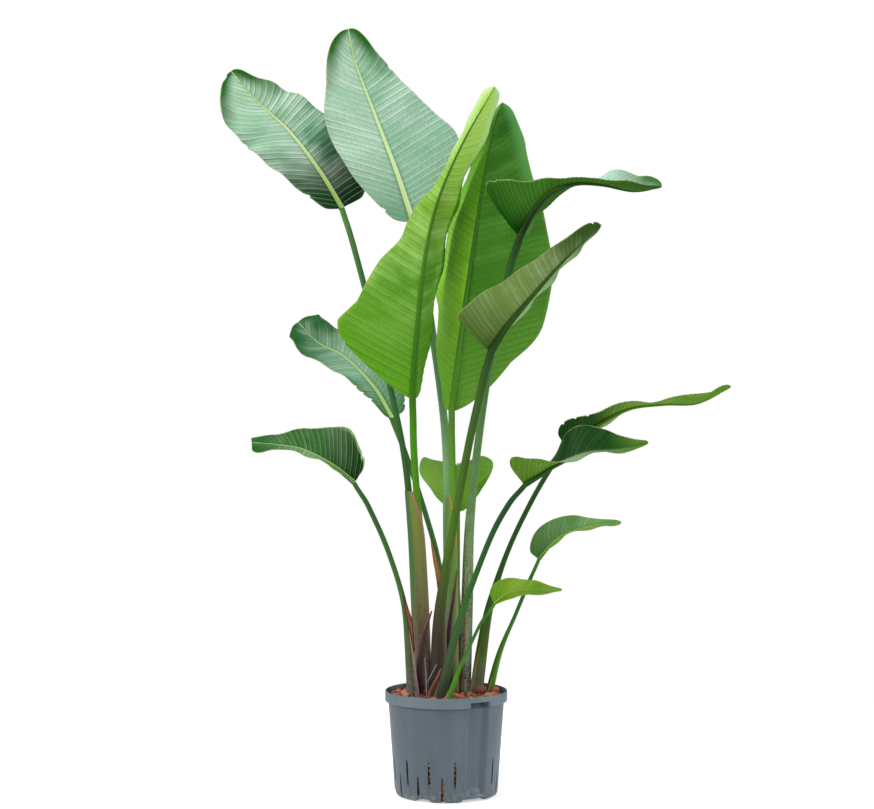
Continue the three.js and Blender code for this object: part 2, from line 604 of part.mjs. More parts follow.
const plant = new THREE.Group();
plant.name = "potted_bird_of_paradise";
plant.add(toMesh("pot", potSolid(), { color: 0x55646e, roughness: 0.5, metalness: 0 }));

const holes = [rootSolid(clearance)];
for (const leaf of Object.values(leaves)) {
  holes.push(stalkSolid(leaf, clearance, 3));
  holes.push(sheathSolid(leaf, clearance));
}
plant.add(toMesh("clay_pebbles", pebbleSolid(holes), { color: 0x9a5a41, roughness: 0.9, metalness: 0 }));
plant.add(toMesh("rootstock", rootSolid(0), { color: 0xc9b48c, roughness: 0.8, metalness: 0 }));

for (const name of names) {
  const leaf = leaves[name];
  const finish = underSeen.includes(name) ? underGreen : upperGreen;
  plant.add(toMesh(`${name}_stalk`, stalks[name], greenStalk));
  plant.add(toMesh(`${name}_blade`, bladeSolid(leaf, leaf.rows, bladeColumns[leaf.size]), finish));
}

export default plant;
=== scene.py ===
import math
import random
from bisect import bisect_right

import bmesh
import bpy
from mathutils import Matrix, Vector, noise


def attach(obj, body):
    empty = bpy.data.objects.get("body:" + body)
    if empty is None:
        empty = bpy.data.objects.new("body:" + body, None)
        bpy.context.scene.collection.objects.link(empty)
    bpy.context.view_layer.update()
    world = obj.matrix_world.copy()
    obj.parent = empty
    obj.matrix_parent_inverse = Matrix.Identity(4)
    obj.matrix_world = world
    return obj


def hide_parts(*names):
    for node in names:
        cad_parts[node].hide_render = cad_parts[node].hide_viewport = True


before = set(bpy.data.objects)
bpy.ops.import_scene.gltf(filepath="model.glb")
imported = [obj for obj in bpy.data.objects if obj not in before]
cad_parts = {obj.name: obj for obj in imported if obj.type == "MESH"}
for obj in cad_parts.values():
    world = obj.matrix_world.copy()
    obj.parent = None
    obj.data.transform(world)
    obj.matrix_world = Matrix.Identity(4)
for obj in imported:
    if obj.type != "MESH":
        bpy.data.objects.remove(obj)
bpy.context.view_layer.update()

scene = bpy.context.scene
mm = 0.001
print("frame loaded,", len(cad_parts), "nodes")

# camera: level and straight on, at the height of the plant's middle; place in metres, lens in mm
camera = {"place": (-0.0166, -3.403, 0.701), "lens": 77.73, "sensor": 36.0}
lens = bpy.data.cameras.new("camera")
lens.lens = camera["lens"]
lens.sensor_width = camera["sensor"]
eye = bpy.data.objects.new("camera", lens)
eye.location = camera["place"]
eye.rotation_euler = (math.pi / 2, 0, 0)
scene.collection.objects.link(eye)
scene.camera = eye


def toLinear(hexText):
    # sRGB hex to the linear colour that Blender's sockets take
    parts = [int(hexText[i:i + 2], 16) / 255 for i in (1, 3, 5)]
    return [c / 12.92 if c <= 0.04045 else ((c + 0.055) / 1.055) ** 2.4 for c in parts] + [1.0]


def addNode(tree, kind, settings=None, links=None):
    # one node with its settings and its incoming links; "stops" are a colour ramp's
    node = tree.nodes.new(kind)
    for key, value in (settings or {}).items():
        if key == "stops":
            ramp = node.color_ramp.elements
            while len(ramp) < len(value):
                ramp.new(0.5)
            for element, (place, colour) in zip(ramp, value):
                element.position = place
                element.color = toLinear(colour) if isinstance(colour, str) else (colour,) * 3 + (1,)
        elif isinstance(key, str) and hasattr(node, key):
            setattr(node, key, value)
        else:
            colour = isinstance(value, str) and value.startswith("#")
            node.inputs[key].default_value = toLinear(value) if colour else value
    for key, source in (links or {}).items():
        tree.links.new(source, node.inputs[key])
    return node


def newMaterial(name):
    material = bpy.data.materials.new(name)
    material.use_nodes = True
    material.node_tree.nodes.clear()
    return material, material.node_tree


def mix(a, b, t):
    return a + (b - a) * t


def smooth(value, low, high):
    t = min(max((value - low) / (high - low), 0.0), 1.0)
    return t * t * (3 - 2 * t)


def finishPiece(bm, name, materials, replaced):
    # bmesh in metres to an object at the origin that rides on the plant
    mesh = bpy.data.meshes.new(name)
    for face in bm.faces:
        face.smooth = True
    bm.to_mesh(mesh)
    bm.free()
    for material in materials:
        mesh.materials.append(material)
    piece = bpy.data.objects.new(name, mesh)
    scene.collection.objects.link(piece)
    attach(piece, "root")
    if replaced:
        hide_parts(replaced)
    return piece


def gridBmesh(columns, rows, maps=("veinMap", "placeMap")):
    # flat grid from -1 to 1 that a piece bends into shape, with its maps there before its points
    bm = bmesh.new()
    for key in maps:
        bm.loops.layers.uv.new(key)
    bmesh.ops.create_grid(bm, x_segments=columns, y_segments=rows, size=1)
    return bm


def stampMaps(bm, notes):
    # notes holds, for each point, one pair for each of the maps
    layers = bm.loops.layers.uv.values()
    for face in bm.faces:
        for loop in face.loops:
            for layer, pair in zip(layers, notes[loop.vert]):
                loop[layer].uv = pair


def thicken(piece, thick):
    wall = piece.modifiers.new("thickness", "SOLIDIFY")
    wall.thickness = thick * mm
    wall.offset = 0
    return wall


# leaves, in millimetres, as in the solids. route: stalk from its buried foot to the blade; rib:
# midrib from the blade's base to its tip; up: way the upper face looks; wide: half widths of the
# left and right half at stations that crowd towards both ends; sweep: how far each half leans
# towards the tip at the base and in the middle; fold, curl: degrees that each half rises at the
# rib and bends on; radius: foot, neck; sheath: height it ends at, radius, heading and half angle.
leaves = {
  "leaf_01": {
    "route": [[-43, 4, 148], [-53, 4, 312], [-62, 8, 474], [-75, 22, 600], [-99, 42, 720],
      [-136, 60, 865], [-171, 75, 995], [-192, 85, 1064]],
    "rib": [[-192, 85, 1064], [-234, 110, 1134], [-293, 140, 1213], [-359, 165, 1277], [-407, 175, 1333]],
    "up": [[0.1, -0.85, 0.3], [0, -0.8, 0.4], [-0.2, -0.7, 0.6]],
    "wide": [[24, 44, 66, 84, 78, 42, 3], [36, 62, 82, 74, 52, 24, 3]],
    "sweep": [[0.06, 0.05], [0, 0.05]],
    "fold": [[14, 12, 10], [14, 10, 8]],
    "curl": [[-20, -15, -10], [-25, -20, -10]],
    "wave": [5, 5], "radius": [8.5, 5.4], "sheath": [545, 16, -54, 125],
  },
  "leaf_02": {
    "route": [[5, 28, 148], [5, 30, 307], [4, 36, 452], [-2, 62, 654], [-28, 84, 853], [-46, 88, 954],
      [-61, 92, 1039]],
    "rib": [[-61, 92, 1039], [-93, 105, 1137], [-135, 130, 1249], [-171, 160, 1348], [-185, 175, 1413]],
    "up": [[0, -0.9, 0.4], [0, -0.9, 0.4], [-0.1, -0.85, 0.6]],
    "wide": [[26, 52, 84, 94, 64, 38, 3], [34, 82, 130, 88, 55, 31, 3]],
    "sweep": [[0.08, 0.05], [0.06, 0.05]],
    "fold": [[14, 8, 6], [10, 8, 6]],
    "curl": [[-18, -12, -6], [-14, -10, -6]],
    "wave": [4, 4], "radius": [9.5, 7.2], "sheath": [540, 20, -74, 130],
  },
  "leaf_03": {
    "route": [[-38, -12, 148], [-40, -12, 314], [-46, -10, 458], [-52, -20, 530], [-58, -46, 624],
      [-59, -72, 711]],
    "rib": [[-59, -72, 711], [-52, -80, 815], [-39, -80, 947], [-17, -68, 1054], [28, -45, 1163],
      [87, -20, 1270]],
    "up": [[0.15, 0.98, 0], [0.15, 0.98, 0], [0.2, 0.95, 0], [0.5, 0.8, 0]],
    "wide": [[30, 70, 105, 118, 74, 42, 10], [84, 134, 110, 62, 27, 34, 12]],
    "sweep": [[0.03, 0.04], [0.12, 0.02]],
    "fold": [[60, 60, 56], [-5, 0, 25, 36, 15]],
    "curl": [[50, 50, 46], [0, 6, 16, 30, 20]],
    "wave": [5, 4.5], "radius": [8, 6.3], "sheath": [300, 10, 0, 70],
  },
  "leaf_04": {
    "route": [[11, 2, 148], [12, 4, 348], [12, -4, 529], [9, -16, 689]],
    "rib": [[9, -16, 689], [25, -20, 820], [43, -15, 951], [65, 0, 1097], [87, 20, 1203], [103, 30, 1250]],
    "up": [[-0.15, 0.95, 0], [-0.15, 0.95, 0], [-0.15, 0.95, 0.1]],
    "wide": [[40, 98, 152, 148, 96, 50, 6], [20, 50, 100, 114, 72, 34, 6]],
    "sweep": [[0.12, 0.03], [0.03, 0.04]],
    "fold": [[0, 0, 0], [50, 52, 54]],
    "curl": [[8, 10, 10], [36, 38, 40]],
    "wave": [4, 4], "radius": [8, 6], "sheath": [330, 10, 20, 70],
  },
  "leaf_05": {
    "route": [[32, 24, 148], [38, 20, 346], [43, 8, 492], [60, -20, 655], [81, -50, 798],
      [108, -80, 924], [127, -95, 998]],
    "rib": [[127, -95, 998], [148, -105, 1036], [178, -122, 1069], [221, -150, 1083], [266, -175, 1078],
      [317, -205, 1063], [362, -225, 1067]],
    "up": [[-0.45, 0.85, 0.3], [-0.4, 0.8, 0.45], [-0.25, 0.65, 0.7], [-0.1, 0.3, 0.9], [0, 0, 1],
      [0.05, -0.05, 1], [0.1, -0.1, 1]],
    "wide": [[24, 44, 52, 38, 34, 26, 2], [30, 98, 36, 29, 31, 22, 2]],
    "sweep": [[0.02, 0.05], [0.1, 0.03]],
    "fold": [[34, 36, 20, 60, 50], [0, 15, -5, 25, 20]],
    "curl": [[0, 0, 0], [10, 10, 0, 0]],
    "wave": [5, 3.5], "radius": [12, 7], "sheath": [560, 14, 200, 75],
  },
  "leaf_06": {
    "route": [[-18, -30, 148], [-15, -35, 298], [-1, -45, 406], [21, -65, 532], [41, -90, 639],
      [60, -115, 726], [75, -138, 795]],
    "rib": [[75, -138, 795], [102, -165, 836], [141, -200, 882], [190, -240, 937], [229, -268, 974],
      [254, -285, 998]],
    "up": [[-0.45, 0.85, 0.3], [-0.45, 0.85, 0.3], [-0.45, 0.8, 0.4]],
    "wide": [[24, 44, 60, 56, 46, 24, 2], [40, 90, 74, 48, 29, 20, 4]],
    "sweep": [[0.02, 0.05], [0.08, 0.03]],
    "fold": [[36, 36, 35], [0, 0, 10]],
    "curl": [[16, 16, 16], [10, 20, 30]],
    "wave": [4, 4], "radius": [11.5, 7], "sheath": [420, 14, 50, 85],
  },
  "leaf_07": {
    "route": [[-7, 78, 148], [-4, 82, 321], [-15, 85, 414], [-37, 90, 496], [-67, 98, 587],
      [-100, 110, 676]],
    "rib": [[-100, 110, 676], [-135, 135, 734], [-191, 170, 791], [-244, 200, 820], [-283, 215, 859]],
    "up": [[0.1, -0.8, 0.5], [0, -0.8, 0.5], [-0.3, -0.6, 0.7]],
    "wide": [[8, 18, 30, 40, 42, 32, 8], [20, 38, 52, 53, 45, 36, 10]],
    "sweep": [[0.06, 0.05], [0, 0.05]],
    "fold": [[20, 15, 10], [15, 10, 10]],
    "curl": [[-10, -10, 0], [-10, -10, 0]],
    "wave": [4, 3.5], "radius": [8.5, 5], "sheath": [430, 12, -70, 80],
  },
  "leaf_08": {
    "route": [[-59, -28, 148], [-67, -34, 272], [-77, -40, 353], [-104, -50, 442], [-135, -60, 514],
      [-161, -70, 564]],
    "rib": [[-161, -70, 564], [-201, -85, 596], [-251, -105, 623], [-298, -125, 632], [-337, -140, 636]],
    "up": [[0.2, -0.7, 0.6], [0.1, -0.65, 0.7], [-0.1, -0.6, 0.8]],
    "wide": [[12, 26, 34, 26, 12, 22, 14], [26, 52, 70, 42, 22, 14, 8]],
    "sweep": [[0.05, 0.05], [0, 0.05]],
    "fold": [[42, 36, 10, -30], [15, 20, 15]],
    "curl": [[0, 0, 0], [0, 0, 0]],
    "wave": [4, 3.5], "radius": [9.5, 4.6], "sheath": [350, 12, 10, 85],
  },
  "leaf_09": {
    "route": [[20, 84, 148], [22, 100, 337], [23, 150, 499]],
    "rib": [[23, 150, 499], [21, 165, 539], [19, 160, 574], [17, 135, 589], [17, 112, 586]],
    "up": [[0, 0.9, 0.1], [0, 0.9, 0.4], [0, 0.3, 0.9], [0, 0, 1]],
    "wide": [[10, 24, 50, 74, 54, 26, 4], [10, 24, 50, 74, 54, 26, 4]],
    "sweep": [[0.12, 0.05], [0.12, 0.05]],
    "fold": [[20, 20, 10], [20, 20, 10]],
    "curl": [[0, 0, 0], [0, 0, 0]],
    "wave": [3, 3], "radius": [8, 4], "sheath": [400, 11, -90, 75],
  },
  "leaf_10": {
    "route": [[50, 9, 148], [70, 12, 293], [87, 14, 365], [116, 16, 446], [156, 20, 528],
      [192, 24, 589], [216, 26, 624]],
    "rib": [[216, 26, 624], [254, 30, 651], [299, 34, 678], [341, 38, 696], [400, 42, 702],
      [460, 46, 704], [521, 48, 733]],
    "up": [[-0.5, 0.75, 0.5], [-0.4, 0.7, 0.6], [-0.2, 0.6, 0.8], [-0.1, 0.2, 1], [0, 0, 1],
      [-0.1, -0.05, 1]],
    "wide": [[16, 28, 34, 30, 28, 14, 2], [30, 50, 24, 24, 26, 22, 2]],
    "sweep": [[0.02, 0.04], [0, 0.04]],
    "fold": [[30, 30, 25, 35, 20], [0, 10, -5, 30, 30]],
    "curl": [[0, 0, 0], [0, 0, 0]],
    "wave": [4, 3], "radius": [12, 4.6], "sheath": [320, 14, 175, 85],
  },
  "leaf_11": {
    "route": [[-17, -56, 148], [3, -58, 239], [19, -62, 302], [42, -68, 373], [80, -76, 471],
      [112, -82, 529], [136, -86, 561]],
    "rib": [[136, -86, 561], [164, -92, 579], [192, -100, 597], [241, -120, 618], [296, -140, 624],
      [347, -155, 635]],
    "up": [[-0.6, 0.75, 0.3], [-0.5, 0.45, 0.7], [-0.12, -0.42, 0.88], [0.05, -0.5, 0.85],
      [0.05, -0.5, 0.85], [0, -0.5, 0.85]],
    "wide": [[10, 16, 38, 54, 30, 12, 2], [36, 70, 56, 44, 32, 18, 2]],
    "sweep": [[0.03, 0.04], [0, 0.04]],
    "fold": [[40, 35, 30, 25, 20], [5, 10, 20, 20, 10]],
    "curl": [[0, 0, 0], [0, 0, 0]],
    "wave": [4, 3], "radius": [9.5, 5], "sheath": [245, 12, 100, 80],
  },
  "leaf_12": {
    "route": [[72, 29, 148], [96, 32, 245], [126, 36, 317], [149, 40, 372], [168, 44, 419]],
    "rib": [[168, 44, 419], [194, 48, 448], [220, 52, 466], [268, 56, 480], [321, 60, 485]],
    "up": [[-0.4, -0.7, 0.6], [-0.1, -0.7, 0.6], [0, -0.5, 0.9]],
    "wide": [[18, 32, 42, 28, 14, 8, 2], [10, 18, 26, 28, 24, 12, 2]],
    "sweep": [[0, 0.05], [0.04, 0.05]],
    "fold": [[5, 5, 5], [45, 45, 10]],
    "curl": [[0, 0, 0], [0, 0, 0]],
    "wave": [3, 2.5], "radius": [7.2, 3.5], "sheath": [240, 9, 190, 75],
  },
  "leaf_13": {
    "route": [[-6, -78, 148], [17, -80, 221], [34, -83, 260], [59, -88, 314], [83, -94, 353]],
    "rib": [[83, -94, 353], [111, -100, 373], [155, -108, 379], [201, -116, 378]],
    "up": [[-0.2, -0.5, 0.8], [-0.1, -0.5, 0.8], [0, -0.4, 0.9]],
    "wide": [[18, 28, 32, 22, 12, 6, 2], [10, 18, 24, 22, 16, 8, 2]],
    "sweep": [[0, 0.05], [0.04, 0.05]],
    "fold": [[15, 10, 10], [15, 8, 0]],
    "curl": [[0, 0, 0], [0, 0, 0]],
    "wave": [2, 2], "radius": [5.4, 3], "sheath": [225, 7, 95, 75],
  },
}

# looks. skins: upper and under face; stalk: its finish; pleat: height and spacing in mm of the
# ridges between the veins; veins: degrees to the rib on the left and right half; nicks: side,
# share of the rib, width and depth in mm of small tears in the margin; a depth below 0 is a corner
# that stands out.
looks = {
    "leaf_01": {"skins": ("one", "paleUnder"), "stalk": "oneStalk", "pleat": (0.9, 11),
                "veins": (58, 80), "nicks": [(0, 0.985, 10, 7), (0, 0.09, 12, 5), (0, 0.56, 20, 4)]},
    "leaf_02": {"skins": ("two", "paleUnder"), "stalk": "twoStalk", "pleat": (0.6, 12),
                "veins": (55, 76), "nicks": [(0, 0.05, 10, 6), (1, 0.72, 16, 3)]},
    "leaf_03": {"skins": ("greenUpper", "three"), "stalk": "threeStalk", "pleat": (0.65, 13),
                "veins": (66, 66), "nicks": [(1, 0.05, 8, 5), (1, 0.13, 90, -14), (0, 0.45, 260, -6)]},
    "leaf_04": {"skins": ("greenUpper", "four"), "stalk": "fourStalk", "pleat": (0.6, 12),
                "veins": (66, 66), "nicks": [(1, 0.16, 12, 4)]},
    "leaf_05": {"skins": ("blueUpper", "five"), "stalk": "fiveStalk", "pleat": (0.7, 8),
                "veins": (60, 60), "nicks": [(1, 0.10, 8, 4)]},
    "leaf_06": {"skins": ("blueUpper", "six"), "stalk": "sixStalk", "pleat": (0.7, 9),
                "veins": (62, 62), "nicks": [(0, 0.985, 5, 5), (1, 0.975, 5, 5)]},
    "leaf_07": {"skins": ("seven", "paleUnder"), "stalk": "sevenStalk", "pleat": (0.7, 9),
                "veins": (52, 60),
                "nicks": [(0, 0.14, 8, 6), (0, 0.21, 7, 5), (0, 0.27, 6, 4), (1, 0.05, 8, 4),
                          (0, 0.93, 26, -5), (1, 0.94, 20, -5)]},
    "leaf_08": {"skins": ("eight", "paleUnder"), "stalk": "eightStalk", "pleat": (0.9, 9),
                "veins": (60, 66), "nicks": [(1, 0.06, 8, 3), (1, 0.21, 44, -7)]},
    "leaf_09": {"skins": ("blueUpper", "nine"), "stalk": "nineStalk", "pleat": (0.3, 8),
                "veins": (60, 60), "nicks": []},
    "leaf_10": {"skins": ("tenUpper", "ten"), "stalk": "tenStalk", "pleat": (0.8, 9),
                "veins": (60, 60), "nicks": [(1, 0.05, 6, 5), (1, 0.11, 6, 4), (1, 0.17, 6, 4)]},
    "leaf_11": {"skins": ("elevenUpper", "elevenUnder"), "stalk": "elevenStalk", "pleat": (0.5, 9),
                "veins": (60, 60), "nicks": [(0, 0.08, 6, 4)]},
    "leaf_12": {"skins": ("twelve", "thirteen"), "stalk": "youngStalk", "pleat": (0.3, 9),
                "veins": (55, 55), "nicks": []},
    "leaf_13": {"skins": ("thirteen", "paleUnder"), "stalk": "youngStalk", "pleat": (0.4, 9),
                "veins": (55, 55), "nicks": []},
}
curveSteps = 200


def glide(values, t):
    # smooth value at t between 0 and 1 in a list of evenly spaced numbers or vectors
    last = len(values) - 1
    scaled = min(max(t, 0.0), 1.0) * last
    i = min(int(scaled), last - 1)
    w = scaled - i
    p1, p2 = values[i], values[i + 1]
    p0 = values[i - 1] if i > 0 else p1 * 2 - p2
    p3 = values[i + 2] if i + 2 <= last else p2 * 2 - p1
    m1, m2 = (p2 - p0) / 2, (p3 - p1) / 2
    return (p1 * 2 - p2 * 2 + m1 + m2) * w ** 3 + (p2 * 3 - p1 * 3 - m1 * 2 - m2) * w ** 2 + m1 * w + p1


def makeCurve(points):
    points = [Vector(p) for p in points]
    stops = [glide(points, i / curveSteps) for i in range(curveSteps + 1)]
    lengths = [0.0]
    for a, b in zip(stops, stops[1:]):
        lengths.append(lengths[-1] + (b - a).length)
    return {"points": points, "lengths": lengths, "length": lengths[-1]}


def curveAt(curve, share):
    lengths = curve["lengths"]
    target = min(max(share, 0.0), 1.0) * curve["length"]
    i = min(max(bisect_right(lengths, target) - 1, 0), curveSteps - 1)
    part = (target - lengths[i]) / (lengths[i + 1] - lengths[i])
    return glide(curve["points"], (i + part) / curveSteps)


def curveTangent(curve, share):
    step = 0.01
    return (curveAt(curve, min(share + step, 1)) - curveAt(curve, max(share - step, 0))).normalized()


def ribFrame(leaf, u):
    inside = min(max(u, 0.0), 1.0)
    forward = curveTangent(leaf["ribCurve"], inside)
    point = curveAt(leaf["ribCurve"], inside) + forward * ((u - inside) * leaf["ribCurve"]["length"])
    upper = glide(leaf["up"], inside)
    upper = (upper - forward * upper.dot(forward)).normalized()
    return point, upper, forward.cross(upper)


def sheetPoint(leaf, look, u, v):
    # the blade's law, as in the solids: a point of the bare sheet, the way its face looks there, its
    # half width and its place along the rib
    side = 0 if v < 0 else 1
    out = abs(v)
    half = max(0.0, glide(leaf["wide"][side], math.acos(1 - 2 * min(max(u, 0.0), 1.0)) / math.pi))
    ribLength = leaf["ribCurve"]["length"]
    for nickSide, place, width, depth in look["nicks"]:
        if nickSide == side:
            half -= min(depth, half * 0.8) * max(0.0, 1 - abs(u - place) * ribLength / width * 2)
    share = half / max(leaf["wide"][0] + leaf["wide"][1])
    atBase, atMiddle = leaf["sweep"][side]
    sweep = atBase * (1 - u) ** 3 + atMiddle * math.sin(math.pi * u)
    along = u + sweep * out ** 1.6 * min(1.0, 1.5 * share)
    point, upper, right = ribFrame(leaf, along)
    start = math.radians(glide(leaf["fold"][side], along))
    bend = math.radians(glide(leaf["curl"][side], along))
    if abs(bend) < 1e-3:
        bend = 1e-3
    end = start + bend * out
    hand = -1 if side == 0 else 1
    point = point + right * (hand * half * (math.sin(end) - math.sin(start)) / bend)
    point = point + upper * (half * (math.cos(start) - math.cos(end)) / bend)
    lean = end if out > 1e-6 else 0.0
    face = upper * math.cos(lean) - right * (hand * math.sin(lean))
    height, count = leaf["wave"]
    phase = 0 if side == 0 else 1.7
    ripple = height * out ** 2 * math.sin(2 * math.pi * count * u + phase) * min(1.0, 1.5 * share)
    return point + face * ripple, face, half, along


for number, (name, leaf) in enumerate(leaves.items(), 1):
    leaf["node"] = name
    leaf["number"] = number
    leaf["up"] = [Vector(p) for p in leaf["up"]]
    leaf["ribCurve"] = makeCurve(leaf["rib"])
    leaf["stalkCurve"] = makeCurve(leaf["route"])
    leaf["levels"] = [curveAt(leaf["stalkCurve"], i / 100) for i in range(101)]

# blades. crowding: how far rows gather at both ends; ribDip: depth of the furrow over the midrib and
# its half width at the base and tip; edgeWave: height and length of the margin's small waves; tipVeins:
# degrees to the rib at the tip; wander: how far pleats stray, and over what length
blade = {"rows": 190, "columns": 44, "crowding": 0.55, "thick": 0.8, "ribDip": (1.0, 4.5, 1.5),
         "edgeWave": (1.3, 34), "tipVeins": 34, "wander": (0.45, 31)}


def pleatPhase(leaf, look, along, across, side):
    # number of pleats from the base to this point, counted along the curved veins
    spacing = look["pleat"][1]
    angle = math.radians(mix(look["veins"][side], blade["tipVeins"], smooth(along, 0.62, 1.0)))
    ribLength = leaf["ribCurve"]["length"]
    run = along * ribLength - across / math.tan(angle)
    stray, strayLength = blade["wander"]
    wander = noise.noise(Vector((run / strayLength, leaf["number"] * 7.3 + side * 3.1, 0.5)))
    return run / spacing + stray * wander + 40      # 40 keeps the count above 0


def bladePiece(name, leaf, look):
    bm = gridBmesh(blade["columns"], blade["rows"])
    ribLength = leaf["ribCurve"]["length"]
    edgeHeight, edgeLength = blade["edgeWave"]
    dip, dipBase, dipTip = blade["ribDip"]
    notes = {}
    for vert in bm.verts:
        t = (vert.co.y + 1) / 2
        u = mix(t, (1 - math.cos(math.pi * t)) / 2, blade["crowding"])
        v = vert.co.x
        side = 0 if v < 0 else 1
        point, face, half, along = sheetPoint(leaf, look, u, v)
        across = half * abs(v)
        phase = pleatPhase(leaf, look, along, across, side)
        part = phase % 1.0
        strength = 0.65 + 0.5 * noise.noise(Vector((math.floor(phase) * 0.73, leaf["number"], side * 9)))
        profile = (math.sin(2 * math.pi * part) + 0.4 * math.sin(4 * math.pi * part)) / 1.2
        # pleats fade at the rib, at the margin and where the blade is narrow
        reach = smooth(across, 3, 16) * (1 - 0.6 * smooth(abs(v), 0.75, 1.0)) * smooth(half, 4, 22)
        lift = look["pleat"][0] * profile * strength * reach
        seed = leaf["number"] * 11.0 + side * 50
        edge = edgeHeight * noise.noise(Vector((along * ribLength / edgeLength, seed, 0)))
        lift += edge * 2 * abs(v) ** 4 * smooth(half, 3, 15)
        lift -= dip * math.exp(-(across / mix(dipBase, dipTip, u)) ** 2) * smooth(half, 4, 15)
        hand = -1 if side == 0 else 1
        notes[vert] = ((phase, hand * across * mm), (u, (half - across) * mm))
        vert.co = (point + face * lift) * mm
    stampMaps(bm, notes)
    upperSkin, underSkin = (leafSkins[key] for key in look["skins"])
    piece = finishPiece(bm, name, [upperSkin, underSkin], leaf["node"] + "_blade")
    wall = thicken(piece, blade["thick"])
    wall.material_offset = 1
    wall.material_offset_rim = 1


